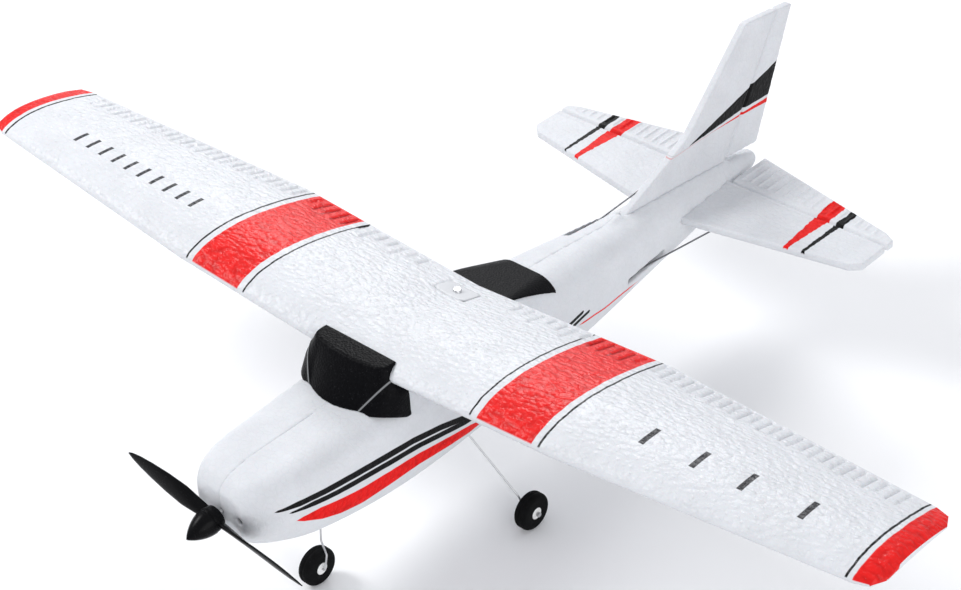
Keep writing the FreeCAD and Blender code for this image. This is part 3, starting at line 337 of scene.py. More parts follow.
def hull_marks(paint, shade, fine, creases):
    """Cheat lines down both sides, and a darker grey patch round the small hole in the cowl."""
    wobble = (paint.noise(9 * MM, 2) - 0.5) * (0.5 * MM)
    height = paint.z + wobble
    side = paint.x.op("ABSOLUTE").above(8 * MM, 1 * MM)

    def stripe(middle, half_width):
        centre = paint.y.along([(y * MM, z * MM) for y, z in middle])
        half = paint.y.along([(y * MM, w * MM) for y, w in half_width])
        away = (height - centre).op("ABSOLUTE")
        return (half - away).above(0, 0.14 * MM) * side

    first = stripe([(-173, 76), (-99, 69), (-83, 66), (-67, 61.5), (-50, 57.5), (11, 63.5), (22, 64)],
                   [(-174, -0.2), (-172, 0.6), (-162, 1.5), (-120, 1.75), (-67, 1.6), (-50, -0.3), (8, -0.3),
                    (10, 1.0), (22, 0.9), (23, -0.3)])
    second = stripe([(-167, 72.5), (-141, 69), (-96, 64.5), (-64, 58.5), (-50, 55), (14, 61), (27, 61.5)],
                    [(-168, -0.2), (-166, 0.5), (-155, 1.3), (-117, 1.5), (-67, 1.4), (-50, -0.3), (12, -0.3),
                     (14, 0.9), (27, 0.8), (28, -0.3)])
    shade = printed(paint, shade, first.op("MAXIMUM", second), BLACK, creases, fine)
    red = stripe([(-164, 67), (-142, 61), (-130, 59), (-96, 57.5), (-50, 51.5)],
                 [(-165, -0.2), (-161, 1.3), (-152, 3.1), (-142, 3.9), (-130, 4.0), (-115, 3.6), (-96, 2.9),
                  (-64, 2.2), (-50, -0.3)])
    shade = printed(paint, shade, red, RED, creases, fine)
    tail = stripe([(19, 58.4), (40, 55.2), (80, 53.2)], [(17, -0.2), (22, 0.45), (60, 0.4), (74, -0.2)])
    shade = printed(paint, shade, tail, RED, creases, fine)
    # darker grey round the small hole in the cowl, fading outwards
    gap_x = paint.x - 12.5 * MM
    gap_z = paint.z - 71 * MM
    reach = (gap_x * gap_x + gap_z * gap_z).op("SQRT") + (paint.noise(4 * MM, 3) - 0.5) * (5 * MM)
    hole_darkening = (1 - reach.above(4 * MM, 3 * MM)) * (1 - paint.y.above(-174 * MM, 4 * MM))
    shade = paint.mix(hole_darkening * 0.55, shade, (0.16, 0.165, 0.18))
    return shade


def black_foam_paint():
    paint = Paint("black_foam", rough=0.38, specular=0.05)
    fine = paint.noise(0.7 * MM, 4)
    grain = paint.cells(1.0 * MM, "F1", warp=0.0006)
    glint_specks = paint.noise(0.45 * MM, 2)
    shade = paint.mix(grain, (0.0015, 0.0015, 0.002), (0.004, 0.004, 0.005))
    # painted glints: small light grey specks standing in for sparkle off the black foam
    shade = paint.mix(glint_specks.above(0.70, 0.03) * 0.22, shade, (0.20, 0.20, 0.21))
    # pale crest between the windscreen and each side window
    crest = paint.z.along([(88.5 * MM, 13.4 * MM), (106.5 * MM, 25.2 * MM)])
    away = (paint.x.op("ABSOLUTE") - crest).op("ABSOLUTE")
    line = (1 - away.above(0.42 * MM, 0.18 * MM)) * (1 - paint.y.above(-100 * MM, 1 * MM))
    shade = paint.mix(line * 0.55, shade, (0.42, 0.43, 0.44))
    paint.colour(shade)
    paint.roughness(fine * 0.22 + 0.30)
    paint.raised(grain, 0.22 * MM, 0.7)
    paint.raised(fine, 0.12 * MM, 0.6)
    return paint


def plastic_paint(name, tone, rough=0.4, coat=0.0, grain=0.05, tint=0.04, specular=0.5):
    """Moulded plastic with faint flow marks and fine handling scuffs."""
    paint = Paint(name, rough=rough, coat=coat, specular=specular)
    flow = paint.noise(6 * MM, 3, stretch=(1, 0.4, 1))
    fine = paint.noise(0.35 * MM, 3)
    scuff = paint.noise(1.4 * MM, 5, 0.7, stretch=(1, 4, 1))
    darker = tuple(c * (1 - 2 * tint) for c in tone)
    lighter = tuple(min(1, c * (1 + tint) + 0.004) for c in tone)
    shade = paint.mix(flow, darker, lighter)
    shade = paint.mix(scuff.above(0.66, 0.05) * 0.12, shade, tuple(min(1, c + 0.12) for c in tone))
    paint.colour(shade)
    paint.roughness(fine * 0.12 + scuff.above(0.62, 0.06) * 0.12 + (rough - 0.08))
    paint.raised(fine, grain * MM, 0.5)
    return paint


def metal_paint(name, tone, rough=0.25, drawn=(1, 1, 1)):
    """Drawn or turned metal with fine lines, duller in patches."""
    paint = Paint(name, rough=rough, metallic=1.0)
    lines = paint.noise(0.25 * MM, 3, stretch=drawn)
    patch = paint.noise(5 * MM, 4)
    shade = paint.mix(patch, tuple(c * 0.82 for c in tone), tone)
    paint.colour(paint.mix(lines * 0.25, shade, tuple(c * 0.6 for c in tone)))
    paint.roughness(lines * 0.15 + patch * 0.15 + (rough - 0.1))
    paint.raised(lines, 0.03 * MM, 0.5)
    return paint


def rubber_paint():
    paint = Paint("tyre_rubber", rough=0.72, specular=0.06)
    pores = paint.cells(0.55 * MM, "F1", warp=0.0003)
    fine = paint.noise(0.3 * MM, 3)
    dust = paint.noise(5 * MM, 4)
    shade = paint.mix(dust, (0.002, 0.002, 0.0022), (0.006, 0.006, 0.0065))
    paint.colour(paint.mix(fine.above(0.66, 0.04) * 0.2, shade, (0.08, 0.08, 0.085)))
    paint.roughness(fine * 0.15 + 0.62)
    paint.raised(pores, 0.12 * MM, 0.7)
    return paint


def wood_paint():
    paint = Paint("birch_ply", rough=0.6)
    rings = paint.noise(3 * MM, 5, 0.65, stretch=(0.25, 3, 3), warp=0.6)
    shade = paint.mix(rings, (0.50, 0.34, 0.19), (0.72, 0.55, 0.36))
    paint.colour(shade)
    paint.raised(rings, 0.1 * MM, 0.5)
    return paint


def board_paint():
    paint = Paint("green_board", rough=0.35)
    traces = paint.cells(2.2 * MM, "DISTANCE_TO_EDGE")
    fine = paint.noise(0.4 * MM, 2)
    paint.colour(paint.mix(1 - traces.above(0.08, 0.02), (0.01, 0.16, 0.06), (0.03, 0.28, 0.12)))
    paint.raised(traces.above(0.08, 0.02), 0.03 * MM, 0.5)
    paint.roughness(fine * 0.1 + 0.3)
    return paint


def foil_paint():
    paint = Paint("battery_foil", rough=0.3, metallic=0.85, coat=0.3)
    wrinkle = paint.noise(3 * MM, 5, 0.65, warp=0.8)
    shade = paint.mix(wrinkle, (0.55, 0.56, 0.58), (0.78, 0.79, 0.80))
    paint.colour(shade)
    paint.raised(wrinkle, 0.3 * MM, 0.7)
    return paint


MATERIALS = {
    "foam_white": foam_paint("foam_hull", 0.16 * MM, hull_marks, rough=0.44, beads=0.10).material,
    "foam_wing": foam_paint("foam_wing", 0.6 * MM, wing_marks, rough=0.34, beads=0.04, gloss=0.22).material,
    "foam_tail": foam_paint("foam_tail", 0.28 * MM, tail_marks, beads=0.12).material,
    "foam_fin": foam_paint("foam_fin", 0.24 * MM, fin_marks, beads=0.12).material,
    "foam_black": black_foam_paint().material,
    "black_gloss": plastic_paint("prop_nylon", (0.0025, 0.0025, 0.003), 0.26, grain=0.03, specular=0.06).material,
    "black_plastic": plastic_paint("black_nylon", (0.022, 0.022, 0.023), 0.45).material,
    "white_plastic": plastic_paint("white_nylon", (0.80, 0.80, 0.79), 0.38).material,
    "clear_plastic": plastic_paint("milky_plastic", (0.70, 0.715, 0.73), 0.3, coat=0.2).material,
    "plate_plastic": plastic_paint("plate_plastic", (0.62, 0.63, 0.65), 0.42).material,
    "blue_plastic": plastic_paint("servo_blue", (0.03, 0.13, 0.50), 0.25, coat=0.3).material,
    "green_board": board_paint().material,
    "rubber": rubber_paint().material,
    "steel": metal_paint("steel_wire", (0.66, 0.66, 0.67), 0.3).material,
    "dark_wire": metal_paint("dark_wire", (0.22, 0.22, 0.23), 0.35).material,
    "brass": metal_paint("brass", (0.80, 0.46, 0.20), 0.3).material,
    "battery_wrap": foil_paint().material,
    "carbon": plastic_paint("carbon_rod", (0.02, 0.02, 0.021), 0.3, coat=0.3).material,
    "plywood": wood_paint().material,
}


# ---------------------------------------------------------------- shape helpers

def stand_in(thing, nodes, material=None):
    """thing takes the place of these CAD nodes, and moves with the first one's body."""
    nodes = [nodes] if isinstance(nodes, str) else nodes
    slot = SLOT_OF[nodes[0]]
    thing.data.materials.clear()
    thing.data.materials.append(MATERIALS[material or slot])
    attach(thing, BODY_OF[nodes[0]])
    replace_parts(thing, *nodes)
    return thing


def mesh_object(name, points, faces, smooth=True):
    data = bpy.data.meshes.new(name)
    data.from_pydata([tuple(point) for point in points], [], faces)
    data.validate()
    work = bmesh.new()
    work.from_mesh(data)
    bmesh.ops.remove_doubles(work, verts=work.verts, dist=1e-6)
    bmesh.ops.recalc_face_normals(work, faces=work.faces)
    work.to_mesh(data)
    work.free()
    if smooth:
        data.shade_smooth()
    thing = bpy.data.objects.new(name, data)
    bpy.context.scene.collection.objects.link(thing)
    return thing


def copy_of(node, name):
    """A welded copy of a CAD node's mesh."""
    data = frame["nodes"][node].data.copy()
    data.name = name
    work = bmesh.new()
    work.from_mesh(data)
    bmesh.ops.remove_doubles(work, verts=work.verts, dist=2e-6)
    work.to_mesh(data)
    work.free()
    thing = bpy.data.objects.new(name, data)
    bpy.context.scene.collection.objects.link(thing)
    return thing


def applied(thing):
    """The mesh with its modifiers applied."""
    bpy.context.view_layer.update()
    graph = bpy.context.evaluated_depsgraph_get()
    data = bpy.data.meshes.new_from_object(thing.evaluated_get(graph))
    thing.modifiers.clear()
    thing.data = data
    return thing


def coords(thing):
    flat = np.zeros(len(thing.data.vertices) * 3)
    thing.data.vertices.foreach_get("co", flat)
    return flat.reshape(-1, 3)


def set_coords(thing, places):
    thing.data.vertices.foreach_set("co", places.ravel())
    thing.data.update()


def normals(thing):
    flat = np.zeros(len(thing.data.vertices) * 3)
    thing.data.vertices.foreach_get("normal", flat)
    return flat.reshape(-1, 3)


def trim(thing, point, keep):
    """Cuts a closed mesh with a plane and closes it again; keep points into the part that stays."""
    mesh = bmesh.new()
    mesh.from_mesh(thing.data)
    bmesh.ops.remove_doubles(mesh, verts=mesh.verts, dist=1e-6)
    everything = mesh.verts[:] + mesh.edges[:] + mesh.faces[:]
    bmesh.ops.bisect_plane(mesh, geom=everything, plane_co=Vector(point) * MM, plane_no=Vector(keep).normalized(),
                           clear_inner=True)
    open_edges = [edge for edge in mesh.edges if edge.is_boundary]
    bmesh.ops.holes_fill(mesh, edges=open_edges, sides=0)
    mesh.to_mesh(thing.data)
    mesh.free()


def moulded(node, name, voxel, passes, relief=None, material=None, cuts=(), seam=0):
    """Foam copy of a CAD node: remeshed and eased so that its edges are rounded, then given its relief.

    cuts are planes for trim. seam is 1 or -1 for a piece that meets its twin on the centre plane from +X or -X.
    """
    thing = copy_of(node, name)
    for point, keep in cuts:
        trim(thing, point, keep)
    remesh = thing.modifiers.new("remesh", "REMESH")
    remesh.mode = "VOXEL"
    remesh.voxel_size = voxel
    applied(thing)
    ease = thing.modifiers.new("ease", "SMOOTH")
    ease.factor = 0.5
    ease.iterations = passes
    applied(thing)
    if seam:
        places = coords(thing)
        near = 1 - ramp(np.abs(places[:, 0]), 0, SEAM_REACH)
        places[:, 0] -= SEAM_LAP * near * seam
        set_coords(thing, places)
    if relief is not None:
        places = coords(thing)
        set_coords(thing, places + normals(thing) * relief(places, normals(thing))[:, None])
    thing.data.shade_smooth()
    return stand_in(thing, node, material)


def crisp(node, name, width, material=None, segments=2):
    """Hard plastic or metal copy of a CAD node with small rounded edges."""
    thing = copy_of(node, name)
    dissolve = thing.modifiers.new("flat", "DECIMATE")
    dissolve.decimate_type = "DISSOLVE"
    dissolve.angle_limit = math.radians(1)
    bevel = thing.modifiers.new("edge", "BEVEL")
    bevel.width = width
    bevel.segments = segments
    bevel.limit_method = "ANGLE"
    bevel.angle_limit = math.radians(35)
    bevel.use_clamp_overlap = True
    applied(thing)
    thing.data.shade_smooth()
    thing.data.set_sharp_from_angle(angle=math.radians(40))
    return stand_in(thing, node, material)


def lathe(name, profile, matrix, turns=96):
    """Turned form about local Z; profile is a list of (radius, height), closed if it starts and ends off the axis."""
    points, faces = [], []
    rings = len(profile)
    for step in range(turns):
        angle = 2 * math.pi * step / turns
        points += [matrix @ Vector((r * math.cos(angle), r * math.sin(angle), h)) for r, h in profile]
    closed = profile[0][0] > 1e-7
    for step in range(turns):
        after = (step + 1) % turns
        for ring in range(rings if closed else rings - 1):
            nxt = (ring + 1) % rings
            faces.append((step * rings + ring, after * rings + ring, after * rings + nxt, step * rings + nxt))
    return mesh_object(name, points, faces)


def rounded(profile, radius, steps=4):
    """The profile with its inner corners rounded off."""
    out = [profile[0]]
    for before, here, after in zip(profile, profile[1:], profile[2:]):
        a = Vector(before) - Vector(here)
        b = Vector(after) - Vector(here)
        cut = min(radius, a.length * 0.45, b.length * 0.45)
        start = Vector(here) + a.normalized() * cut
        end = Vector(here) + b.normalized() * cut
        for step in range(steps + 1):
            t = step / steps
            out.append(tuple(start * (1 - t) ** 2 + Vector(here) * (2 * t * (1 - t)) + end * t ** 2))
    out.append(profile[-1])
    return out


def ridge(distance, width):
    """A smooth bump of height 1 and this half width."""
    return np.exp(-(distance / width) ** 2)


def ramp(values, low, high):
    t = np.clip((values - low) / (high - low), 0, 1)
    return t * t * (3 - 2 * t)


# ---------------------------------------------------------------- wing

WING_FRONT = Vector((0, -106.3 * MM, 101.8 * MM))
DIHEDRAL = math.tan(math.radians(3.8))
INCIDENCE = math.radians(3.6)
EDGE_BIAS = 0.86
PLATE_CORNER = 0.42
PLAN = ((0, 0, 79, 1.0), (107, 0, 79, 1.0), (241, 7.4, 55.5, 0.95), (247, 9.2, 51.6, 0.8), (250, 15, 40, 0.45))


def plan_at(x):
    """Setback, chord and thickness share at a span position."""
    for (x0, *low), (x1, *high) in zip(PLAN, PLAN[1:]):
        if x <= x1 * MM + 1e-9:
            t = (x / MM - x0) / (x1 - x0)
            return [a + (b - a) * t for a, b in zip(low, high)]
    return list(PLAN[-1][1:])


def section_point(x, part, sign):
    setback, chord, thin = plan_at(abs(x))
    chord *= MM
    half = 5 * 0.135 * thin * (0.2969 * math.sqrt(part) - 0.126 * part - 0.3516 * part ** 2
                               + 0.2843 * part ** 3 - 0.1036 * part ** 4)
    camber = 0.25 * (0.8 * part - part ** 2)
    if part > 0.4:
        camber = 0.04 / 0.36 * (0.2 + 0.8 * part - part ** 2)
    along = chord * part
    up = chord * (camber + sign * half) + sign * 0.7 * MM * thin * part
    y = WING_FRONT.y + setback * MM + along * math.cos(INCIDENCE) + up * math.sin(INCIDENCE)
    z = WING_FRONT.z + abs(x) * DIHEDRAL - along * math.sin(INCIDENCE) + up * math.cos(INCIDENCE)
    return x, y, z


def wing_relief(x, part, chord):
    """Depth of the moulded pattern on the upper skin: rib dashes by the trailing edge and the plate's recess."""
    out = abs(x) / MM
    aft = (1 - part) * chord
    depth = 0.0
    if out < 66:
        pitch, first, length = 6.2, 28.0, 11.5 + 3.5 * math.sin(out * 0.35)
    elif out < 69.7 or 98.6 < out < 103:
        return 0.0
    elif out <= 98.6:
        pitch, first, length = 5.7, 72.2, 12.5 + 2.0 * math.cos(out * 0.5)
    elif out < 234:
        pitch, first, length = 5.2, 105.2, 12.5 + 1.2 * math.cos(out * 1.7)
    else:
        return 0.0
    if out >= first - pitch / 2:
        away = abs((out - first + pitch / 2) % pitch - pitch / 2)
        groove = math.exp(-(away / 0.8) ** 2)
        reach = min(max((length - aft) / 1.5, 0), 1) * min(max((aft - 0.6) / 0.8, 0), 1)
        depth += 0.95 * groove * reach
    return -depth * MM


def make_wing():
    spans = [n * 0.8 for n in range(300)] + [240.0 + n * 0.5 for n in range(1, 21)]
    spans = [-x for x in reversed(spans[1:])] + spans
    count = 96
    shares = []
    for step in range(count + 1):
        t = step / count
        shares.append((1 - math.cos(math.pi * t * EDGE_BIAS)) / (1 - math.cos(math.pi * EDGE_BIAS)))
    ring = [(part, 1) for part in reversed(shares)] + [(part, -1) for part in shares[1:]]
    points, faces = [], []
    for span in spans:
        x = span * MM
        _, chord, _ = plan_at(abs(x))
        for part, sign in ring:
            place = list(section_point(x, part, sign))
            if sign > 0:
                place[2] += wing_relief(x, part, chord)
                near = min(max((abs(span) - 9.2) / 0.5, 0), 1)
                if near < 1 and -47.1 * MM < place[1] < -34.7 * MM:
                    place[2] -= 0.75 * MM * (1 - near)
            points.append(place)
    width = len(ring)
    for row in range(len(spans) - 1):
        for column in range(width):
            nxt = (column + 1) % width
            near, far = row * width, (row + 1) * width
            faces.append((near + column, near + nxt, far + nxt, far + column))
    # the tips are closed by strips between the two skins
    for row in (0, len(spans) - 1):
        base = row * width
        for step in range(count):
            under = width - 2 - step if step + 1 < count else count
            faces.append((base + step, base + step + 1, base + under, base + width - 1 - step))
    wing = mesh_object("wing_foam", points, faces)
    wing.data.set_sharp_from_angle(angle=math.radians(62))
    return stand_in(wing, "wing")


def wing_top(x, y):
    """Height of the upper skin at a place."""
    low, high = 0.0, 1.0
    for _ in range(30):
        middle = (low + high) / 2
        if section_point(x, middle, 1)[1] < y:
            low = middle
        else:
            high = middle
    return section_point(x, low, 1)[2]


def make_wing_plate():
    """Rounded access plate let into the wing over its screw, level with the skin."""
    low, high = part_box("wing_plate")
    centre, half = (low + high) / 2, (high - low) / 2 - Vector((0.25, 0.25, 0)) * MM
    around, rings = 72, 10
    points, faces = [], []
    for depth in (0.06, -0.6):
        for ring in range(rings + 1):
            for step in range(around):
                angle = 2 * math.pi * step / around
                share = max(ring / rings, 0.12)
                c, s = math.cos(angle), math.sin(angle)
                x = centre.x + half.x * share * math.copysign(abs(c) ** PLATE_CORNER, c)
                y = centre.y + half.y * share * math.copysign(abs(s) ** PLATE_CORNER, s)
                drop = 0.12 if ring == rings and depth > 0 else 0
                points.append((x, y, wing_top(x, y) + (depth - drop) * MM))
    sheet = (rings + 1) * around
    for side in range(2):
        for ring in range(rings):
            for step in range(around):
                nxt = (step + 1) % around
                a = side * sheet + ring * around
                faces.append((a + step, a + nxt, a + around + nxt, a + around + step))
    for edge in (0, rings * around):
        for step in range(around):
            nxt = (step + 1) % around
            faces.append((edge + step, edge + nxt, sheet + edge + nxt, sheet + edge + step))
    return stand_in(mesh_object("wing_plate_moulding", points, faces), "wing_plate", "plate_plastic")


make_wing()
make_wing_plate()


# ---------------------------------------------------------------- fuselage, glazing and tail

def hull_relief(places, directions):
    """Fine raised parting line down the middle of the cowl and deck."""
    top = ramp(directions[:, 2], 0.3, 0.8)
    cowl = 1 - ramp(places[:, 1], -122 * MM, -117 * MM)
    deck = ramp(places[:, 1], 6 * MM, 12 * MM)
    line = ridge(places[:, 0], 0.9 * MM) * top * np.maximum(cowl, deck)
    # soft fillets where the fin and the tail plane grow out of the hull
    beside_fin = ramp(places[:, 1], 58 * MM, 70 * MM) * (1 - ramp(places[:, 1], 150 * MM, 156 * MM))
    fin_fillet = 2.4 * MM * np.exp(-np.maximum(np.abs(places[:, 0]) - 1.6 * MM, 0) / (1.7 * MM)) * beside_fin * top
    along = ramp(places[:, 1], 101 * MM, 108 * MM) * (1 - ramp(places[:, 1], 143 * MM, 146 * MM))
    side = ramp(np.abs(directions[:, 0]), 0.4, 0.8)
    away = np.maximum(np.abs(places[:, 2] - 68.2 * MM) - 1.8 * MM, 0)
    root_fillet = 1.9 * MM * np.exp(-away / (1.6 * MM)) * along * side
    outer = outward(places, directions)
    return 0.12 * MM * line + (fin_fillet + root_fillet) * outer


def outward(places, directions):
    """1 on the hull's outer skin and 0 on its inner one."""
    middle = np.stack([places[:, 0] * 0, places[:, 2] * 0 + 66 * MM], axis=1)
    from_middle = places[:, [0, 2]] - middle
    return ramp((from_middle * directions[:, [0, 2]]).sum(axis=1), 0, 0.5 * MM)


for half, seam in (("left", 1), ("right", -1)):
    moulded(f"fuselage_{half}", f"hull_{half}", 0.8 * MM, 5, hull_relief, seam=seam)


def glass_relief(places, directions):
    """Raised crest between the windscreen and each side window."""
    crest = np.interp(places[:, 2], [88.5 * MM, 106.5 * MM], [13.4 * MM, 25.2 * MM])
    front = 1 - ramp(places[:, 1], -104 * MM, -99 * MM)
    return 0.35 * MM * ridge(np.abs(places[:, 0]) - crest, 1.1 * MM) * front


# each plane ends a side window along its lower edge
window_cuts = [((14 * side, -122.4, 89.7), (-48.8 * side, 66.1, 117.4)) for side in (1, -1)]
moulded("windshield", "windscreen_foam", 0.5 * MM, 14, glass_relief, cuts=window_cuts)
moulded("rear_window", "rear_window_foam", 0.35 * MM, 2)


def elevator_relief(places, directions):
    """Raised ribs across the elevator, from behind the hinge to just ahead of the trailing edge."""
    out = np.abs(places[:, 0])
    edge = np.interp(out, [10.2 * MM, 94 * MM, 100 * MM], [174.3 * MM, 155.4 * MM, 152 * MM])
    reach = ramp(places[:, 1], 150.2 * MM, 151.6 * MM) * ramp(edge - places[:, 1], 0.8 * MM, 2.2 * MM)
    pitch = 5.1 * MM
    away = np.abs((out - 13 * MM + pitch / 2) % pitch - pitch / 2)
    inside = ramp(out, 12 * MM, 13 * MM) * (1 - ramp(out, 93 * MM, 95 * MM))
    flat = ramp(np.abs(directions[:, 2]), 0.6, 0.9)
    return 0.6 * MM * (ridge(away, 0.7 * MM) - 0.4) * reach * inside * flat


def stabiliser_relief(places, directions):
    """Shallow step along the hinge line."""
    away = places[:, 1] - 143.4 * MM
    return -0.28 * MM * ridge(away, 0.6 * MM) * ramp(np.abs(directions[:, 2]), 0.6, 0.9)


def rudder_relief(places, directions):
    flat = ramp(np.abs(directions[:, 0]), 0.6, 0.9)
    axis = np.array([math.sin(FIN_RAKE), math.cos(FIN_RAKE)])
    from_foot = places[:, 1:] - np.array(RUDDER_FOOT)
    height = from_foot @ axis
    behind = from_foot @ np.array([axis[1], -axis[0]])
    pitch = 8 * MM
    away = np.abs((height + pitch / 2) % pitch - pitch / 2)
    reach = ramp(behind, 3.5 * MM, 5 * MM) * ramp(height, 8 * MM, 12 * MM) * (1 - ramp(height, 66 * MM, 70 * MM))
    return 0.14 * MM * ridge(away, 1.2 * MM) * reach * flat


moulded("stabiliser", "stabiliser_foam", 0.6 * MM, 5, stabiliser_relief, "foam_tail")
moulded("elevator_left", "elevator_left_foam", 0.5 * MM, 5, elevator_relief, "foam_tail")
moulded("elevator_right", "elevator_right_foam", 0.5 * MM, 5, elevator_relief, "foam_tail")
moulded("fin", "fin_foam", 0.6 * MM, 5, None, "foam_fin")
moulded("rudder", "rudder_foam", 0.5 * MM, 5, rudder_relief, "foam_fin")


# ---------------------------------------------------------------- propeller and spinner

BLADE_MIDDLE = -1.4
SPINNER_BASE = -3.9
SHAFT = Matrix.Translation(SHAFT_CENTRE) @ Matrix.Rotation(SHAFT_TILT, 4, "X") @ Matrix.Rotation(-math.pi / 2, 4, "X")


def make_spinner():
    """Local Z of the lathe runs aft along the shaft."""
    nose, base, radius = -16.2, SPINNER_BASE, 5.8
    profile = [(0.0, nose * MM)]
    for step in range(1, 40):
        t = step / 40
        profile.append((radius * MM * (1 - (1 - t) ** 1.75) ** 0.86, (nose + (base - nose - 0.25) * t) * MM))
    profile += [(radius * MM, (base - 0.3) * MM), (5.72 * MM, (base - 0.06) * MM), (5.5 * MM, base * MM),
                (1.02 * MM, base * MM), (1.02 * MM, -8.9 * MM), (0.0, -8.9 * MM)]
    return stand_in(lathe("spinner_cone", profile, SHAFT), "spinner")


def blade_station(t):
    """Radius, chord, thickness and pitch angle along one blade, from hub to tip."""
    radius = 3.0 + 46.9 * t
    chord = np.interp(t, [0, 0.12, 0.3, 0.5, 0.7, 0.85, 0.95, 1.0], [5.4, 6.6, 9.0, 9.4, 8.0, 5.8, 3.2, 0.7])
    thick = np.interp(t, [0, 0.2, 0.5, 0.8, 1.0], [1.9, 1.45, 1.1, 0.8, 0.35])
    pitch = np.interp(t, [0, 0.2, 0.45, 0.7, 1.0], [46, 33, 21, 15, 11])
    return radius, chord, thick, math.radians(pitch)


def make_propeller():
    frame_turn = Matrix.Translation(SHAFT_CENTRE) @ Matrix.Rotation(SHAFT_TILT, 4, "X")
    frame_turn = frame_turn @ Matrix.Rotation(math.radians(9.5), 4, "Y")
    points, faces = [], []
    count, around = 44, 28
    for turn in (1, -1):
        start = len(points)
        for step in range(count + 1):
            radius, chord, thick, pitch = blade_station(step / count)
            for index in range(around):
                angle = 2 * math.pi * index / around
                across = math.cos(angle) * chord / 2
                lift = math.sin(angle) * thick / 2 * (1.15 - 0.35 * math.cos(angle))
                camber = 0.045 * chord * (1 - math.cos(angle) ** 2)
                y = math.sin(pitch) * across + math.cos(pitch) * (lift - camber) + BLADE_MIDDLE
                z = (math.sin(pitch) * (lift - camber) - math.cos(pitch) * across) * turn
                points.append(frame_turn @ (Vector((radius * turn, y, z)) * MM))
        for step in range(count):
            for index in range(around):
                nxt = (index + 1) % around
                a = start + step * around
                faces.append((a + index, a + nxt, a + around + nxt, a + around + index))
        faces.append(tuple(start + index for index in range(around)))
        faces.append(tuple(start + count * around + index for index in range(around)))
    blades = mesh_object("propeller_blades", points, faces)
    hub_profile = rounded([(1.02, SPINNER_BASE), (5.7, SPINNER_BASE), (5.7, -2.4), (4.8, 0.7), (1.02, 0.7)], 0.4)
    hub_profile = [(r * MM, h * MM) for r, h in hub_profile]
    hub = lathe("propeller_hub", hub_profile, SHAFT)
    hub.data.materials.append(MATERIALS["black_gloss"])
    stand_in(blades, "propeller")
    hub.parent = blades
    return blades


make_spinner()
make_propeller()


# ---------------------------------------------------------------- wheels

def make_wheel(side):
    low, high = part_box(f"{side}_wheel_tyre")
    centre = (low + high) / 2
    radius = (high.z - low.z) / 2
    wide = (high.x - low.x) / 2
    place = Matrix.Translation(centre) @ Matrix.Rotation(math.pi / 2, 4, "Y")
    rim = 2.9 * MM
    tread = [(rim, -wide), (rim + 0.5 * MM, -wide), (radius - 2.6 * MM, -wide)]
    for step in range(9):
        t = math.pi / 2 * step / 8
        tread.append((radius - 2.0 * MM + 2.0 * MM * math.sin(t), -wide + 2.2 * MM - 2.2 * MM * math.cos(t)))
    floor = radius - 0.18 * MM
    groove = [(radius, -0.55 * MM), (floor, -0.35 * MM), (floor, 0.35 * MM), (radius, 0.55 * MM)]
    profile = tread + groove + [(r, -h) for r, h in reversed(tread)]
    tyre = lathe(f"{side}_tyre_foam", profile, place, 120)
    stand_in(tyre, f"{side}_wheel_tyre")
    bore = 0.52 * MM
    face = [(bore, -wide - 0.3 * MM), (1.3 * MM, -wide - 0.3 * MM), (1.5 * MM, -wide + 0.25 * MM),
            (2.2 * MM, -wide + 0.25 * MM), (2.45 * MM, -wide - 0.12 * MM), (rim, -wide - 0.12 * MM)]
    outline = face + [(r, -h) for r, h in reversed(face)]
    hub = lathe(f"{side}_hub_moulding", rounded(outline, 0.2 * MM), place, 96)
    stand_in(hub, f"{side}_wheel_hub")
    hub.data.set_sharp_from_angle(angle=math.radians(50))


for side in ("nose", "left", "right"):
    make_wheel(side)


# ---------------------------------------------------------------- hardware kept from the frame, with eased edges

crisp("elevator_horn", "elevator_horn_moulding", 0.18 * MM)
crisp("rudder_horn", "rudder_horn_moulding", 0.18 * MM)
crisp("battery_hatch", "hatch_door", 0.35 * MM)
crisp("hatch_frame", "hatch_surround", 0.25 * MM)
for name in ("elevator_servo", "rudder_servo", "elevator_servo_arm", "rudder_servo_arm", "gearbox_frame", "firewall",
             "servo_tray", "receiver_socket", "elevator_servo_cradle", "nose_gear_socket", "main_gear_socket"):
    crisp(name, f"{name}_eased", THIN_EDGE if name == "servo_tray" else HARD_EDGE)

other_finishes = {"elevator_pushrod": "dark_wire", "rudder_pushrod": "dark_wire", "wheel_caps": "steel"}
replaced = {node for thing in bpy.data.objects for node in thing.get("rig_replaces", [])}
for name, node in frame["nodes"].items():
    if name not in replaced:
        node.data.materials.clear()
        node.data.materials.append(MATERIALS[other_finishes.get(name, SLOT_OF[name])])


# ---------------------------------------------------------------- stage, light and camera

CAMERA_ANGLES = (43.241, 35.494, -2.256)
CAMERA_PLACE = (0.51833, -0.57760, 0.63151)
CAMERA_LENS = 78.99
LIGHTS = (("key", (-0.9, -0.5, 1.0), (0, 0, 0.05), 0.5, 9),
          ("fill", (1.5, -0.5, 0.7), (0, 0, 0.05), 1.3, 10),
          ("rim", (-0.9, 1.0, 1.0), (0, 0.05, 0.06), 0.6, 9))


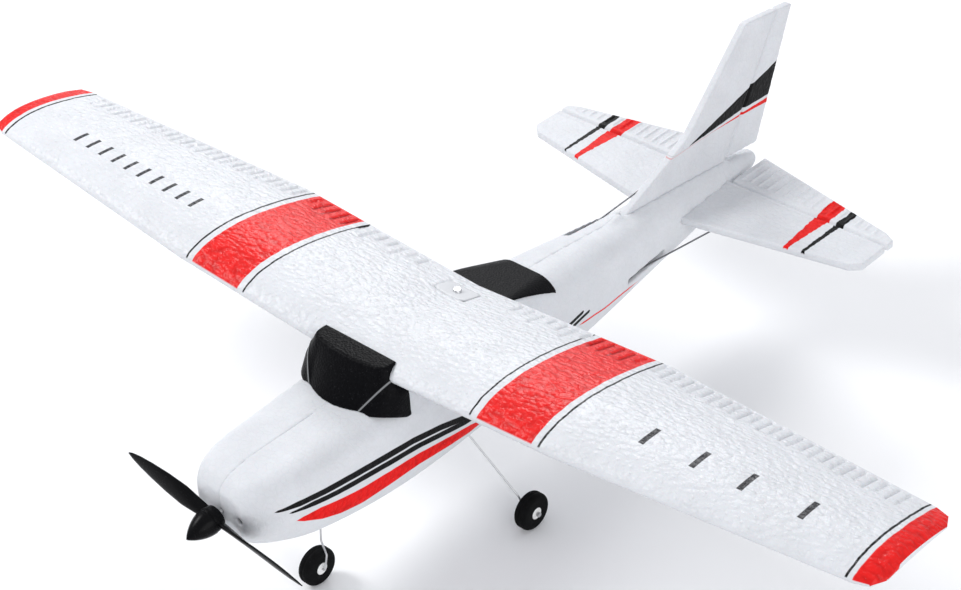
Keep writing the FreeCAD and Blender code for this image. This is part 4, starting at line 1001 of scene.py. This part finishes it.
def make_stage():
    size, count = 3.2, 24
    points = [((column / count - 0.5) * size, (row / count - 0.5) * size, 0) for row in range(count + 1)
              for column in range(count + 1)]
    faces = [(r * (count + 1) + c, r * (count + 1) + c + 1, (r + 1) * (count + 1) + c + 1, (r + 1) * (count + 1) + c)
             for r in range(count) for c in range(count)]
    floor = mesh_object("studio_floor", points, faces)
    floor.location.z = cad_box[0].z - 0.0002
    paint = Paint("pale_floor", rough=0.9, specular=0.1)
    paint.colour(paint.mix(paint.noise(0.4, 2), (0.90, 0.90, 0.905), (0.925, 0.925, 0.93)))
    floor.data.materials.append(paint.material)


def add_light(name, place, aim, size, power):
    data = bpy.data.lights.new(name, "AREA")
    data.shape = "DISK"
    data.size = size
    data.energy = power
    light = bpy.data.objects.new(name, data)
    light.location = place
    light.rotation_euler = (Vector(aim) - Vector(place)).to_track_quat("-Z", "Y").to_euler()
    bpy.context.scene.collection.objects.link(light)


def make_camera():
    azimuth, elevation, roll = (math.radians(angle) for angle in CAMERA_ANGLES)
    back = Vector((math.sin(azimuth) * math.cos(elevation), -math.cos(azimuth) * math.cos(elevation),
                   math.sin(elevation)))
    level = Vector((math.cos(azimuth), math.sin(azimuth), 0))
    rise = back.cross(level)
    right = level * math.cos(roll) + rise * math.sin(roll)
    up = rise * math.cos(roll) - level * math.sin(roll)
    data = bpy.data.cameras.new("camera")
    data.sensor_width = 36
    data.lens = CAMERA_LENS
    data.clip_start = 0.01
    camera = bpy.data.objects.new("camera", data)
    turn = Matrix((right, up, back)).transposed().to_4x4()
    camera.matrix_world = Matrix.Translation(CAMERA_PLACE) @ turn
    bpy.context.scene.collection.objects.link(camera)
    bpy.context.scene.camera = camera


make_stage()
for row in LIGHTS:
    add_light(*row)
make_camera()
world = bpy.data.worlds.new("studio")
world.use_nodes = True
world.node_tree.nodes["Background"].inputs["Color"].default_value = (0.93, 0.95, 1.0, 1)
world.node_tree.nodes["Background"].inputs["Strength"].default_value = 0.66
bpy.context.scene.world = world
bpy.context.scene.view_settings.view_transform = "Standard"
